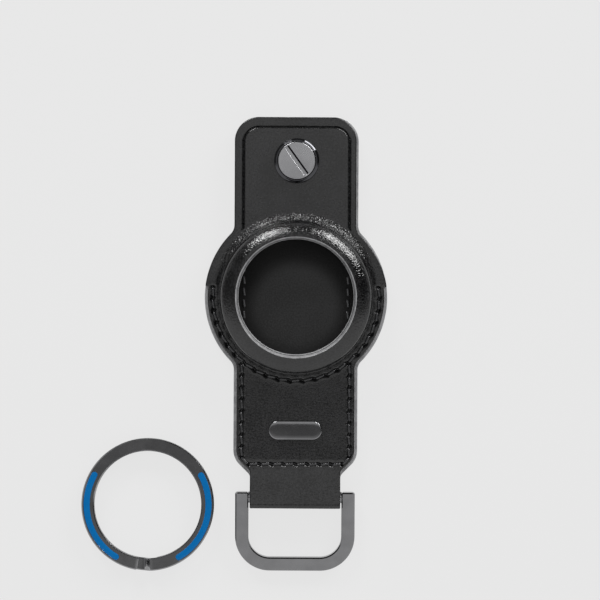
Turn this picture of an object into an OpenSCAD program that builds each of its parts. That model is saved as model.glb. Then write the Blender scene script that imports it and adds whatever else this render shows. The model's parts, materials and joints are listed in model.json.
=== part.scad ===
// Leather tag holder for a round tracker, with a D-ring and a loose split ring.
// It lies on its back: X to the right, Y towards the tab, Z towards the viewer.
// The origin is on the back face, on the axis of the round pocket.

/* [Body outline] */
// Width of the tab and of the lower body
body_w = 30.3; // [28:0.1:34]
// Diameter of the round middle
disc_d = 45; // [43:0.1:50]
// Distance from the pocket's axis to the tab's top edge
tab_top = 44.1; // [41:0.1:50]
// Radius of the tab's two corners
tab_corner_r = 5.9; // [3:0.1:8]
// Radius of the hollow corners beside the round middle
neck_r = 3; // [1:0.1:5]
// Distance from the pocket's axis down to the start of the 45 degree shoulders
shoulder_drop = 39.4; // [38:0.1:44]
// Radius that rounds each shoulder
shoulder_r = 4.9; // [2:0.1:6]
// Radius of the hollow corner between a shoulder and the strap
crotch_r = 1.8; // [0.8:0.1:2.5]
// Straight length below the shoulders before the strap leaves the body
hem = 1.2; // [1:0.1:2]
// Height above the pocket's axis at which the sewn part ends and the leaf folds
fold_y = 2.8; // [1:0.1:5]
// How far the sewn front stands back from the painted edge of the lower body
edge_step = 0.7; // [0.3:0.1:1]

/* [Leather] */
// Thickness of the leather
leather_t = 1.2; // [1:0.05:1.5]
// Thickness of the lining
lining_t = 0.6; // [0.5:0.05:0.8]
// Depth of the pressed crease on the tab
crease_depth = 0.25; // [0.1:0.05:0.4]
// Width of the pressed crease
crease_w = 0.7; // [0.4:0.1:1]
// Distance of the crease and of the seams from the edge
seam_inset = 2.1; // [1.8:0.1:2.4]

/* [Pocket] */
// Diameter of the round tracker that the pocket takes
tracker_d = 31.9; // [30:0.1:33]
// Gap around the tracker
tracker_gap = 0.15; // [0.05:0.05:0.3]
// Depth of the pocket under its lip
pocket_depth = 7.2; // [6:0.1:8]
// Diameter of the window at the lining's edge
window_d = 27.8; // [25:0.1:28.5]
// How much each layer of the lip stands back from the layer below
lip_bevel = 0.45; // [0.2:0.05:0.6]
// Gap between the leather's edge and the lining's edge at the window
lip_groove = 0.15; // [0.05:0.05:0.3]
// Radius that rounds the raised ring's shoulder
dome_r = 4; // [3:0.1:4.5]
// Radius of the hollow foot of the raised ring
foot_r = 0.6; // [0.3:0.1:0.8]

/* [Strap and D-ring] */
// Width of the strap
strap_w = 22.1; // [20:0.1:23]
// Length of strap between the body's lower edge and the axis of the ring's bar
strap_l = 4.1; // [3.6:0.1:8]
// Height of the ring's bar above the back face
bar_z = 2.8; // [2.75:0.05:3.2]
// Diameter of the ring's bar
bar_d = 2.8; // [2.4:0.1:2.9]
// Gap between the bar and the strap's loop
bar_gap = 0.1; // [0.05:0.01:0.1]
// Distance from the bar's axis to the far side of the ring
ring_reach = 18; // [15:0.1:22]
// Width of the ring's side arms
arm_w = 3.25; // [2.6:0.05:3.6]
// Thickness of the ring's side arms
arm_t = 2.4; // [2:0.1:2.8]
// Chamfer along the ring's edges
arm_chamfer = 0.45; // [0.2:0.05:0.6]
// Gap between the strap's edge and each side arm
strap_gap = 0.3; // [0.15:0.05:0.6]
// Outer radius of the ring's two rounded corners
ring_corner_r = 8.5; // [6:0.1:10]
// How far the side arms reach past the bar's axis
arm_heel = 1.3; // [1:0.1:2]
// Length of strap tail that is sewn in between the layers
tail_l = 21; // [18:0.5:23]

/* [Closure] */
// Distance from the pocket's axis up to the screw
screw_up = 33.4; // [32:0.1:36]
// Diameter of the cup washer
rosette_d = 11; // [10:0.1:13]
// Height of the cup washer
rosette_h = 1.5; // [1.3:0.05:2]
// Depth of the washer's cup, in which the screw head sits
cup_depth = 0.8; // [0.5:0.05:1]
// Diameter of the screw head
head_d = 9.1; // [8:0.1:9.5]
// Height of the screw head
head_h = 1.1; // [0.9:0.05:1.4]
// Width of the screwdriver slot
slot_w = 1.2; // [0.8:0.1:1.6]
// Depth of the screwdriver slot
slot_depth = 0.55; // [0.3:0.05:0.6]
// Angle of the slot at rest
slot_angle = -54; // [-90:1:90]
// Diameter of the screw's thread at its root
shank_d = 2.46; // [2:0.02:2.5]
// Diameter of the hole through the post
thread_d = 3; // [2.8:0.05:3.2]
// Outer diameter of the post's barrel
barrel_d = 4.6; // [4.4:0.1:5]
// Diameter of the post's flange at the back
flange_d = 9; // [8:0.1:11]
// Thickness of the post's flange
flange_t = 0.8; // [0.6:0.05:0.9]
// Diameter of the hole in the front flap
flap_hole_d = 5.5; // [5.4:0.1:6]

/* [Badge] */
// Distance from the pocket's axis down to the badge
badge_drop = 32.4; // [31:0.1:34]
// Length of the badge
badge_l = 13; // [10:0.5:16]
// Width of the badge
badge_w = 4.6; // [4:0.1:6]
// Thickness of the badge
badge_t = 0.8; // [0.5:0.1:1.2]
// Diameter of the badge's two pins
badge_pin_d = 1.1; // [0.8:0.1:1.4]
// Thickness of the clip plate behind the badge
clip_t = 0.35; // [0.25:0.05:0.4]

/* [Seams] */
// Distance between stitches
stitch_pitch = 3; // [2.4:0.1:4]
// Length of one stitch
stitch_l = 2.3; // [1.6:0.1:2.3]
// Thickness of the thread
thread_t = 0.35; // [0.25:0.05:0.4]
// Width of the thread as it lies
thread_w = 0.6; // [0.4:0.05:0.7]
// Slant of each stitch to its seam
stitch_slant = 7; // [0:1:12]
// Width of the furrow that a seam presses
furrow_w = 0.95; // [0.9:0.05:1.1]
// Depth of the furrow on the front
furrow_depth = 0.2; // [0.1:0.05:0.3]

/* [Split ring] */
// Sideways distance from the pocket's axis to the split ring's centre
key_x = -36; // [-50:0.1:-34]
// Distance from the pocket's axis down to the split ring's centre
key_drop = 50.8; // [45:0.1:60]
// Outer diameter of the split ring
key_d = 32.4; // [28:0.1:35]
// Width of the flat wire
wire_w = 3.1; // [2.6:0.1:3.6]
// Thickness of the flat wire
wire_t = 1.3; // [1.1:0.05:1.6]
// Chamfer along the wire's edges
wire_chamfer = 0.25; // [0.1:0.05:0.35]
// Gap between the two turns
turn_gap = 0.45; // [0.42:0.01:0.6]
// Angle that the step between the turns takes up
step_angle = 9; // [7:0.5:14]
// Free angle between the step and a wire end
end_angle = 2.5; // [2:0.1:5]
// Direction of the step, seen from the ring's centre
key_angle = 270; // [0:1:359]
// Width of the enamel inlays
enamel_w = 1.6; // [1.2:0.1:1.8]
// Depth of the enamel inlays
enamel_depth = 0.4; // [0.2:0.05:0.5]
// Width of the metal rim outside the enamel
enamel_rim = 0.5; // [0.4:0.05:0.7]
// Angle that each inlay covers
enamel_sweep = 94; // [40:1:110]
// Angle from the step to the start of each inlay
enamel_start = 28; // [20:1:40]

/* [Hidden] */
$fn = 72;

// Overrun of every cut, and the least distance between two points of an outline
over = 1;
tiny = 0.001;
// Angle between the points of an outline's round stretches, and sides of the large circles
arc_step = 4;
smooth = 180;
// A square larger than the whole object
far = 4 * tab_top;

// Heights of the layers
lining_z = leather_t;
inner_z = leather_t + lining_t;
front_z = inner_z + lining_t;
front_top = front_z + leather_t;

// Pocket and raised ring
pocket_r = tracker_d / 2 + tracker_gap;
shell_r = pocket_r + lining_t;
wall_r = shell_r + leather_t;
lip_z = inner_z + pocket_depth;
shell_z = lip_z + lining_t;
dome_top = shell_z + leather_t;
window_r = window_d / 2;

// Outline
disc_r = disc_d / 2;
neck_x = body_w / 2 + neck_r;
neck_y = sqrt(pow(disc_r + neck_r, 2) - pow(neck_x, 2));
neck_angle = atan2(neck_y, neck_x);
shoulder_angle = 45;
strap_start = shoulder_drop + (body_w - strap_w) / 2 + hem;
shoulder_run = sqrt(2) * ((body_w - strap_w) / 2 - edge_step);
shoulder_fillet = min(shoulder_r, shoulder_run / tan(shoulder_angle / 2) - crotch_r);

// Seams
seam_r = disc_r - seam_inset;
seam_x = body_w / 2 - edge_step - seam_inset + crease_w / 2;
seam_low = strap_start - hem - seam_inset - edge_step;
seam_high = tab_top - seam_inset;
corner_gap = stitch_pitch / 2;
join_low = sqrt(pow(seam_r, 2) - pow(seam_x, 2));
thread_sink = 0.05;
back_furrow = thread_t + thread_sink;
lining_furrow = lining_t / 2;
lining_thread_t = lining_furrow - thread_sink;

// Strap loop
loop_r = bar_d / 2 + bar_gap;
loop_outer_r = loop_r + leather_t;
bar_drop = strap_start + strap_l;
bar_at = [-bar_drop, bar_z];

// D-ring: the angle at which its far side rests on the floor
arm_x = strap_w / 2 + strap_gap;
contact_l = ring_reach - arm_chamfer;
contact_r = sqrt(pow(contact_l, 2) + pow(arm_t / 2, 2));
droop = asin(bar_z / contact_r) - atan2(arm_t / 2, contact_l);

// Closure: the running gap is that of pins and of the screw head in what holds them
running_gap = 0.05;
shank_gap = 0.08;
barrel_gap = 0.2;
cup_floor = rosette_h - cup_depth;
cup_r = head_d / 2 + running_gap;
crest_w = 0.22;
rosette_edge = 0.1;
rosette_foot = 0.3;
screw_edge = 0.2;
shank_l = front_top + cup_floor - leather_t;

// Badge
pin_x = badge_l / 2 - badge_w / 2;
clip_margin = 0.6;
clip_l = badge_l - 2 * clip_margin;
clip_w = badge_w - 2 * clip_margin;

// Split ring
turn_rise = wire_t + turn_gap;
wire_mid_r = (key_d - wire_w) / 2;
enamel_outer_r = key_d / 2 - enamel_rim;
top_from = step_angle / 2 + end_angle;
top_to = 360 - step_angle / 2;

// Points of an arc, both ends included
function arc(centre, r, from, to) =
    let (steps = max(1, ceil(abs(to - from) / arc_step)))
    [for (i = [0:steps])
        let (a = from + (to - from) * i / steps)
        centre + r * [cos(a), sin(a)]];

// A closed outline without points that coincide
function spaced(points) = [for (i = [0:len(points) - 1])
    if (norm(points[i] - points[(i + 1) % len(points)]) > tiny) points[i]];

// Right half of the outline from the top down, drawn in by one inset above the fold and another
// below it. The strap keeps its width.
function outline_side(upper, lower, end) =
    let (
        reach = body_w / 2 + shoulder_drop - sqrt(2) * lower,
        crotch_x = strap_w / 2 + crotch_r,
        crotch_y = crotch_x - reach - sqrt(2) * crotch_r,
        shoulder_y = shoulder_fillet * tan(shoulder_angle / 2) - shoulder_drop
    )
    concat(
        arc([body_w / 2 - tab_corner_r, tab_top - tab_corner_r], tab_corner_r - upper, 90, 0),
        arc([neck_x, neck_y], neck_r + upper, 180, 180 + neck_angle),
        arc([0, 0], disc_r - upper, neck_angle, asin(fold_y / (disc_r - upper))),
        arc([0, 0], disc_r - lower, asin(fold_y / (disc_r - lower)), -neck_angle),
        arc([neck_x, -neck_y], neck_r + lower, 180 - neck_angle, 180),
        arc([body_w / 2 - shoulder_fillet, shoulder_y], shoulder_fillet - lower, 0, -shoulder_angle),
        arc([crotch_x, crotch_y], crotch_r, 180 - shoulder_angle, 180),
        [[strap_w / 2, -end]]
    );

function mirrored(side) = [for (i = [len(side) - 1:-1:0]) [-side[i][0], side[i][1]]];

// Point where the tangent from a point meets a circle, on the side given by 1 or -1
function tangent(from, centre, r, side) =
    let (
        run = centre - from,
        a = atan2(run[1], run[0]) + side * asin(r / norm(run)),
        l = sqrt(run * run - r * r)
    )
    from + l * [cos(a), sin(a)];

module outline(upper, lower, end = strap_start) {
    side = outline_side(upper, lower, end);
    polygon(spaced(concat(side, mirrored(side))));
}

module above_fold() {
    translate([-far, fold_y]) square([2 * far, far]);
}

module below_fold() {
    translate([-far, fold_y - far]) square([2 * far, far]);
}

module layer(z, t) {
    translate([0, 0, z]) linear_extrude(t) children();
}

module slot(l, w) {
    square([l - w, w], center = true);
    for (side = [-1, 1]) translate([side * (l - w) / 2, 0]) circle(d = w);
}

// Seams and creases

module ring_band(r, w) {
    difference() {
        circle(r + w / 2, $fn = smooth);
        circle(r - w / 2, $fn = smooth);
    }
}

// The sewn seam: an arc round the pocket and a U in the lower body
module sewn_lines(w) {
    intersection() {
        ring_band(seam_r, w);
        below_fold();
    }
    for (side = [-1, 1]) {
        translate([side * seam_x - w / 2, -seam_low]) square([w, seam_low - join_low]);
    }
    translate([-seam_x - w / 2, -seam_low - w / 2]) square([2 * seam_x + w, w]);
}

// The seam of the back cover, straight up both sides and over the top of the leaf
module cover_lines(w) {
    for (side = [-1, 1]) {
        translate([side * seam_x - w / 2, -join_low]) square([w, join_low + seam_high]);
    }
    translate([-seam_x - w / 2, seam_high - w / 2]) square([2 * seam_x + w, w]);
}

module crease_line() {
    intersection() {
        difference() {
            outline(seam_inset - crease_w / 2, seam_inset);
            outline(seam_inset + crease_w / 2, seam_inset);
        }
        above_fold();
    }
}

module stitch(t) {
    rotate([0, 0, stitch_slant]) linear_extrude(t) slot(stitch_l, thread_w);
}

// Stitches in a straight row, held clear of both ends by half a pitch
module stitch_row(from, to, t) {
    run = to - from;
    count = round(norm(run) / stitch_pitch);
    for (i = [0:count - 1]) {
        translate(from + run * (i + 0.5) / count) rotate([0, 0, atan2(run[1], run[0])]) stitch(t);
    }
}

module stitch_arc(r, from, to, t) {
    count = round(r * abs(to - from) * PI / 180 / stitch_pitch);
    for (i = [0:count - 1]) {
        rotate([0, 0, from + (to - from) * (i + 0.5) / count])
            translate([0, -r]) stitch(t);
    }
}

module sewn_stitches(t) {
    half_arc = 90 + asin(fold_y / seam_r);
    stitch_arc(seam_r, -half_arc, half_arc, t);
    for (side = [-1, 1]) {
        stitch_row([side * seam_x, -join_low - thread_w], [side * seam_x, -seam_low + corner_gap], t);
    }
    stitch_row([-seam_x + corner_gap, -seam_low], [seam_x - corner_gap, -seam_low], t);
}

module cover_side_stitches(from, to, t) {
    for (side = [-1, 1]) stitch_row([side * seam_x, from], [side * seam_x, to], t);
}

// Raised ring

// Half section of a round shell with one rounded shoulder, from the floor up
module dome_section(wall, top, shoulder) {
    square([wall - shoulder, top]);
    square([wall, top - shoulder]);
    translate([wall - shoulder, top - shoulder]) circle(shoulder);
}

module foot_section() {
    difference() {
        translate([wall_r, front_top]) square(foot_r);
        translate([wall_r + foot_r, front_top + foot_r]) circle(foot_r);
    }
}

// The window, with each layer's edge standing back from the one below
module window_cut() {
    rotate_extrude($fn = smooth) polygon([
        [0, lip_z - pocket_depth / 2],
        [window_r, lip_z - pocket_depth / 2],
        [window_r, lip_z],
        [window_r + lip_groove, shell_z],
        [window_r + lip_bevel - lip_groove, shell_z + lip_groove],
        [window_r + lip_bevel, dome_top - lip_bevel],
        [window_r + 2 * lip_bevel, dome_top],
        [window_r + 2 * lip_bevel, dome_top + over],
        [0, dome_top + over]
    ]);
}

// Strap

// Side view of the loop, along Y and Z: the bar's bore is cut from it afterwards
module loop_section() {
    root = [-strap_start, front_z];
    difference() {
        union() {
            translate(bar_at) circle(loop_outer_r);
            polygon([
                [-strap_start + tiny, inner_z],
                [-strap_start + tiny, front_top],
                [-strap_start, front_top],
                tangent([-strap_start, front_top], bar_at, loop_outer_r, -1),
                bar_at,
                tangent([-strap_start, inner_z], bar_at, loop_outer_r, 1),
                [-strap_start, inner_z]
            ]);
        }
        polygon([root, tangent(root, bar_at, loop_r, -1), bar_at, tangent(root, bar_at, loop_r, 1)]);
    }
}

// Stands a side view up and gives it a width along X, centred
module across(w) {
    translate([-w / 2, 0, 0]) rotate([90, 0, 90]) linear_extrude(w) children();
}

module tail_plate() {
    translate([-strap_w / 2, -strap_start]) square([strap_w, tail_l]);
}

module badge_pins(d, from, to) {
    for (side = [-1, 1]) {
        translate([side * pin_x, -badge_drop, from]) cylinder(h = to - from, d = d);
    }
}

// Pieces

module front_leather() {
    color([0.13, 0.13, 0.14]) difference() {
        union() {
            layer(front_z, leather_t) outline(0, edge_step);
            rotate_extrude($fn = smooth) {
                difference() {
                    dome_section(wall_r, dome_top, dome_r);
                    square([wall_r + over, front_z]);
                }
                foot_section();
            }
            layer(inner_z, lining_t + tiny) tail_plate();
            across(strap_w) loop_section();
        }
        translate([0, 0, -over]) rotate_extrude($fn = smooth) {
            dome_section(shell_r, shell_z + over, dome_r - leather_t);
        }
        window_cut();
        translate([0, -bar_drop, bar_z]) rotate([0, 90, 0]) {
            cylinder(h = strap_w + 2 * over, r = loop_r, center = true);
        }
        translate([0, screw_up, front_z - over]) cylinder(h = leather_t + 2 * over, d = flap_hole_d);
        layer(front_top - crease_depth, crease_depth + over) crease_line();
        layer(front_top - furrow_depth, furrow_depth + leather_t / 2) sewn_lines(furrow_w);
        badge_pins(badge_pin_d + 2 * running_gap, front_z - clip_t, front_top + over);
        layer(front_z - clip_t, clip_t) {
            translate([0, -badge_drop]) slot(clip_l + 4 * running_gap, clip_w + 4 * running_gap);
        }
    }
}

module front_lining() {
    color([0.10, 0.10, 0.11]) difference() {
        union() {
            layer(inner_z, lining_t) difference() {
                outline(0, edge_step);
                tail_plate();
            }
            rotate_extrude($fn = smooth) difference() {
                dome_section(shell_r, shell_z, dome_r - leather_t);
                square([shell_r + over, inner_z]);
            }
        }
        rotate_extrude($fn = smooth) dome_section(pocket_r, lip_z, dome_r - leather_t - lining_t);
        window_cut();
        translate([0, screw_up, inner_z - over]) cylinder(h = lining_t + 2 * over, d = flap_hole_d);
    }
}

module back_leather() {
    color([0.12, 0.12, 0.13]) difference() {
        layer(0, leather_t) intersection() {
            outline(0, 0);
            below_fold();
        }
        layer(-over, back_furrow + over) {
            sewn_lines(furrow_w);
            cover_lines(furrow_w);
        }
    }
}

module back_lining() {
    color([0.10, 0.10, 0.11]) difference() {
        layer(lining_z, lining_t) intersection() {
            outline(0, 0);
            below_fold();
        }
        layer(inner_z - lining_furrow, lining_furrow + over) cover_lines(furrow_w);
    }
}

module front_needle_thread() {
    color([0.05, 0.05, 0.05]) translate([0, 0, front_top - furrow_depth]) sewn_stitches(thread_t);
}

module back_bobbin_thread() {
    color([0.05, 0.05, 0.05]) translate([0, 0, back_furrow - thread_t]) sewn_stitches(thread_t);
}

module lining_seam_thread() {
    color([0.05, 0.05, 0.05]) {
        translate([0, 0, inner_z - lining_furrow]) {
            cover_side_stitches(-join_low + stitch_l / 2, fold_y, lining_thread_t);
        }
        translate([0, 0, back_furrow - thread_t]) {
            cover_side_stitches(-join_low + stitch_l / 2, fold_y, thread_t);
        }
    }
}

module badge() {
    color([0.35, 0.35, 0.37]) {
        layer(front_top, badge_t) translate([0, -badge_drop]) slot(badge_l, badge_w);
        badge_pins(badge_pin_d, front_z - clip_t, front_top);
    }
}

module badge_clip() {
    color([0.55, 0.55, 0.57]) layer(front_z - clip_t, clip_t) difference() {
        translate([0, -badge_drop]) slot(clip_l, clip_w);
        for (side = [-1, 1]) translate([side * pin_x, -badge_drop]) circle(d = badge_pin_d);
    }
}

module leaf_leather() {
    color([0.12, 0.12, 0.13]) difference() {
        layer(0, leather_t) intersection() {
            outline(0, 0);
            above_fold();
        }
        layer(-over, back_furrow + over) cover_lines(furrow_w);
        translate([0, screw_up, -over]) {
            cylinder(h = flange_t + over, d = flange_d + 2 * running_gap);
            cylinder(h = leather_t + 2 * over, d = barrel_d + 2 * running_gap);
        }
    }
}

module leaf_lining() {
    color([0.10, 0.10, 0.11]) difference() {
        layer(lining_z, lining_t) intersection() {
            outline(0, 0);
            above_fold();
        }
        layer(inner_z - lining_furrow, lining_furrow + over) cover_lines(furrow_w);
        translate([0, screw_up, -over]) {
            cylinder(h = inner_z + 2 * over, d = barrel_d + 2 * running_gap);
        }
    }
}

module leaf_seam_thread() {
    top = seam_high - corner_gap;
    color([0.05, 0.05, 0.05]) {
        translate([0, 0, inner_z - lining_furrow]) {
            cover_side_stitches(fold_y, top, lining_thread_t);
            stitch_row([-seam_x + corner_gap, seam_high], [seam_x - corner_gap, seam_high],
                lining_thread_t);
        }
        translate([0, 0, back_furrow - thread_t]) {
            cover_side_stitches(fold_y, top, thread_t);
            stitch_row([-seam_x + corner_gap, seam_high], [seam_x - corner_gap, seam_high],
                thread_t);
        }
    }
}

module closure_post() {
    color([0.40, 0.40, 0.42]) translate([0, screw_up, 0]) difference() {
        union() {
            cylinder(h = flange_t, d = flange_d);
            cylinder(h = front_top - barrel_gap, d = barrel_d);
        }
        translate([0, 0, leather_t / 2]) cylinder(h = front_top + over, d = thread_d);
    }
}

module screw_rosette() {
    hole_r = shank_d / 2 + shank_gap;
    crest_r = cup_r + crest_w;
    color([0.25, 0.25, 0.27]) translate([0, screw_up, front_top]) rotate_extrude($fn = smooth) {
        polygon([
            [hole_r, 0],
            [rosette_d / 2, 0],
            [rosette_d / 2, rosette_foot],
            [(rosette_d / 2 + crest_r) / 2, rosette_h - rosette_edge],
            [crest_r, rosette_h],
            [cup_r + rosette_edge, rosette_h],
            [cup_r, rosette_h - rosette_edge],
            [cup_r, cup_floor],
            [hole_r, cup_floor]
        ]);
    }
}

module closure_screw() {
    color([0.55, 0.55, 0.57]) translate([0, screw_up, front_top + cup_floor]) difference() {
        union() {
            rotate_extrude($fn = smooth) polygon([
                [0, 0],
                [head_d / 2, 0],
                [head_d / 2, head_h - screw_edge],
                [head_d / 2 - screw_edge, head_h],
                [0, head_h]
            ]);
            translate([0, 0, -shank_l]) cylinder(h = shank_l + tiny, d = shank_d);
        }
        rotate([0, 0, slot_angle]) translate([0, 0, head_h - slot_depth]) {
            linear_extrude(slot_depth + over) square([head_d - 4 * screw_edge, slot_w], center = true);
        }
    }
}

// Section of a side arm, with all four edges chamfered
function chamfered(w, t, c) = [
    [-w / 2 + c, -t / 2], [w / 2 - c, -t / 2], [w / 2, -t / 2 + c], [w / 2, t / 2 - c],
    [w / 2 - c, t / 2], [-w / 2 + c, t / 2], [-w / 2, t / 2 - c], [-w / 2, -t / 2 + c]
];

module arm_section() {
    polygon(chamfered(arm_w, arm_t, arm_chamfer));
}

// The ring lies flat here, with its bar on the X axis
module ring_flat() {
    mid_x = arm_x + arm_w / 2;
    mid_reach = ring_reach - arm_w / 2;
    corner_mid_r = ring_corner_r - arm_w / 2;
    for (side = [-1, 1]) {
        translate([side * mid_x, arm_heel, 0]) rotate([90, 0, 0]) {
            linear_extrude(arm_heel + mid_reach - corner_mid_r) arm_section();
        }
    }
    for (side = [0, 1]) mirror([side, 0, 0]) {
        translate([mid_x - corner_mid_r, corner_mid_r - mid_reach, 0]) rotate([0, 0, -90]) {
            rotate_extrude(angle = 90) translate([corner_mid_r, 0]) arm_section();
        }
    }
    translate([corner_mid_r - mid_x, -mid_reach, 0]) rotate([90, 0, 90]) {
        linear_extrude(2 * (mid_x - corner_mid_r)) arm_section();
    }
    rotate([0, 90, 0]) cylinder(h = 2 * mid_x, d = bar_d, center = true);
}

module d_ring() {
    color([0.42, 0.42, 0.44]) translate([0, -bar_drop, bar_z]) rotate([droop, 0, 0]) ring_flat();
}

// Split ring

// Height of the wire's middle along its length, given as an angle: the upper turn, the step down
// and the lower turn
function wire_z(a) =
    let (share = min(1, max(0, (a - top_to) / step_angle)))
    turn_rise * (1 + cos(180 * share)) / 2 + wire_t / 2;

// Corners of the wire's section at one angle, drawn in by an inset
function wire_ring(a, inset = 0) =
    [for (p = chamfered(wire_w - 2 * inset, wire_t - 2 * inset, wire_chamfer))
        let (r = wire_mid_r + p[0])
        [r * cos(a), r * sin(a), wire_z(a) + p[1]]];

// The step runs into both turns by a lap, a hair inside their skin, so that they join cleanly
step_count = 8;
step_lap = 1.5;
step_inset = 0.02;
step_stations = [
    top_to - step_lap,
    for (i = [0:step_count]) top_to + step_angle * i / step_count,
    top_to + step_angle + step_lap
];

module wire_step() {
    rings = [for (a = step_stations) wire_ring(a, step_inset)];
    sides = len(rings[0]);
    last = (len(rings) - 1) * sides;
    polyhedron(
        points = [for (ring = rings) each ring],
        faces = concat(
            [for (i = [0:len(rings) - 2], j = [0:sides - 1])
                [i * sides + j, i * sides + (j + 1) % sides, (i + 1) * sides + (j + 1) % sides]],
            [for (i = [0:len(rings) - 2], j = [0:sides - 1])
                [i * sides + j, (i + 1) * sides + (j + 1) % sides, (i + 1) * sides + j]],
            [for (j = [1:sides - 2]) [0, j + 1, j]],
            [for (j = [1:sides - 2]) [last, last + j, last + j + 1]]
        )
    );
}

// One flat turn from one angle to another
module wire_turn(from, to, z) {
    translate([0, 0, z + wire_t / 2]) rotate([0, 0, from]) rotate_extrude(angle = to - from, $fn = smooth) {
        translate([wire_mid_r, 0]) polygon(chamfered(wire_w, wire_t, wire_chamfer));
    }
}

// The ring's place on the table; the mirror makes the wire run down clockwise
module key_place() {
    translate([key_x, -key_drop, 0]) rotate([0, 0, key_angle]) mirror([0, 1, 0]) children();
}

// An inlay between two angles, counted from the step
module enamel_arc(from) {
    translate([0, 0, turn_rise + wire_t - enamel_depth]) rotate([0, 0, from]) {
        rotate_extrude(angle = enamel_sweep, $fn = smooth) {
            translate([enamel_outer_r - enamel_w, 0]) square([enamel_w, enamel_depth]);
        }
    }
}

module split_ring() {
    color([0.38, 0.38, 0.40]) key_place() difference() {
        union() {
            wire_turn(top_from, top_to, turn_rise);
            wire_step();
            wire_turn(top_to + step_angle - 360, 360 - step_angle / 2 - end_angle, 0);
        }
        enamel_arc(enamel_start);
        enamel_arc(360 - enamel_start - enamel_sweep);
    }
}

module enamel_left() {
    color([0.0, 0.30, 0.62]) key_place() enamel_arc(enamel_start);
}

module enamel_right() {
    color([0.0, 0.30, 0.62]) key_place() enamel_arc(360 - enamel_start - enamel_sweep);
}

// Least gap of the wire to itself, measured between points of its section that lie more than
// half a turn apart along it
gap_step = 4.5;
wire_stations = [for (a = [top_from:gap_step:720 - step_angle / 2 - end_angle]) wire_ring(a)];
half_turn = ceil(180 / gap_step);
wire_gap = min([for (i = [0:len(wire_stations) - 1], j = [i + half_turn:1:len(wire_stations) - 1])
    if (abs(abs(j - i) * gap_step - 360) < 2 * (step_angle + end_angle))
        for (p = wire_stations[i], q = wire_stations[j]) norm(p - q)]);
echo(str("least gap of the split ring's wire to itself: ", wire_gap, " mm"));

front_leather();
front_lining();
back_leather();
back_lining();
front_needle_thread();
back_bobbin_thread();
lining_seam_thread();
badge();
badge_clip();
leaf_leather();
leaf_lining();
leaf_seam_thread();
closure_post();
screw_rosette();
closure_screw();
d_ring();
split_ring();
enamel_left();
enamel_right();
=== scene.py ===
"""Looks of a leather holder for a round tracker, with its D-ring and a loose split ring.

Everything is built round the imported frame, in the frame's own place. Lengths are in millimetres
until a mesh is made, and each sub-assembly is a class that builds and dresses its pieces.
"""

import json
import logging
import math
from abc import ABC, abstractmethod
from collections.abc import Callable, Mapping, Sequence
from dataclasses import dataclass, field, replace
from enum import Enum

import bmesh
import bpy
import numpy as np
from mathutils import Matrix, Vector
from mathutils.geometry import delaunay_2d_cdt
from mathutils.kdtree import KDTree


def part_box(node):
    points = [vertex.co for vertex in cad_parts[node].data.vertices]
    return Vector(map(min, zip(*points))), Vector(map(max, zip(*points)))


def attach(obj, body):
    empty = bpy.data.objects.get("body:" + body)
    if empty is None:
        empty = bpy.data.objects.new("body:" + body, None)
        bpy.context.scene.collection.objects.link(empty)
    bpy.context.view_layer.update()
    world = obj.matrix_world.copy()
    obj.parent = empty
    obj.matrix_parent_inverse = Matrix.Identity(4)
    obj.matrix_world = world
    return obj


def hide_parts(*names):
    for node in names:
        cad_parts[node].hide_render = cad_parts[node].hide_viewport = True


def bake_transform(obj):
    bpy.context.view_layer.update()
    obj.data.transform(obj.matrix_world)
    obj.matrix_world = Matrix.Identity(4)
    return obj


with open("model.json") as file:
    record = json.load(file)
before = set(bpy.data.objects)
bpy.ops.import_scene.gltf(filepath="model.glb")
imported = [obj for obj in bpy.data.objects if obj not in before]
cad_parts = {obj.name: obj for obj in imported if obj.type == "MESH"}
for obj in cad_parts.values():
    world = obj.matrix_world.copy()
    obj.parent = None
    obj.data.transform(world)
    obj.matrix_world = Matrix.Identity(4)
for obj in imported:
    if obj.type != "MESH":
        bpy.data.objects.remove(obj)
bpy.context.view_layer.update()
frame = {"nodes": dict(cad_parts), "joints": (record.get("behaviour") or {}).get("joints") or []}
MM = 0.001
LOG = logging.getLogger("holder")
Array = np.ndarray
Rule = Callable[[Array], Array]
Piece = bpy.types.Object
Material = bpy.types.Material


class Slot(Enum):
    """Material slots of the record, one given with each piece."""

    LEATHER = "leather"
    LINING = "lining"
    THREAD = "thread"
    GUNMETAL = "gunmetal"
    SATIN = "satin_gunmetal"
    CHROME = "dark_chrome"
    ENAMEL = "enamel"


class Body(Enum):
    """Bodies of the frame that the pieces ride on."""

    HOLDER = "holder"
    LEAF = "back_leaf"
    ROSETTE = "rosette"
    SCREW = "screw"
    RING = "ring"
    KEY_RING = "key_ring"


class Side(Enum):
    """Side of a sheet that its faces look to or that a row of stitches is on."""

    FRONT = 1
    BACK = -1


def box_mm(node: str) -> tuple[Array, Array]:
    """Lowest and highest corner of a CAD node, in millimetres."""
    low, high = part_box(node)
    return np.array(low) / MM, np.array(high) / MM


def joint_point(name: str) -> Array:
    """Point on a hinge's axis, in millimetres."""
    joint = next(j for j in frame["joints"] if j["name"] == name)
    return np.array(joint["pos_m"], float) / MM


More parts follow.
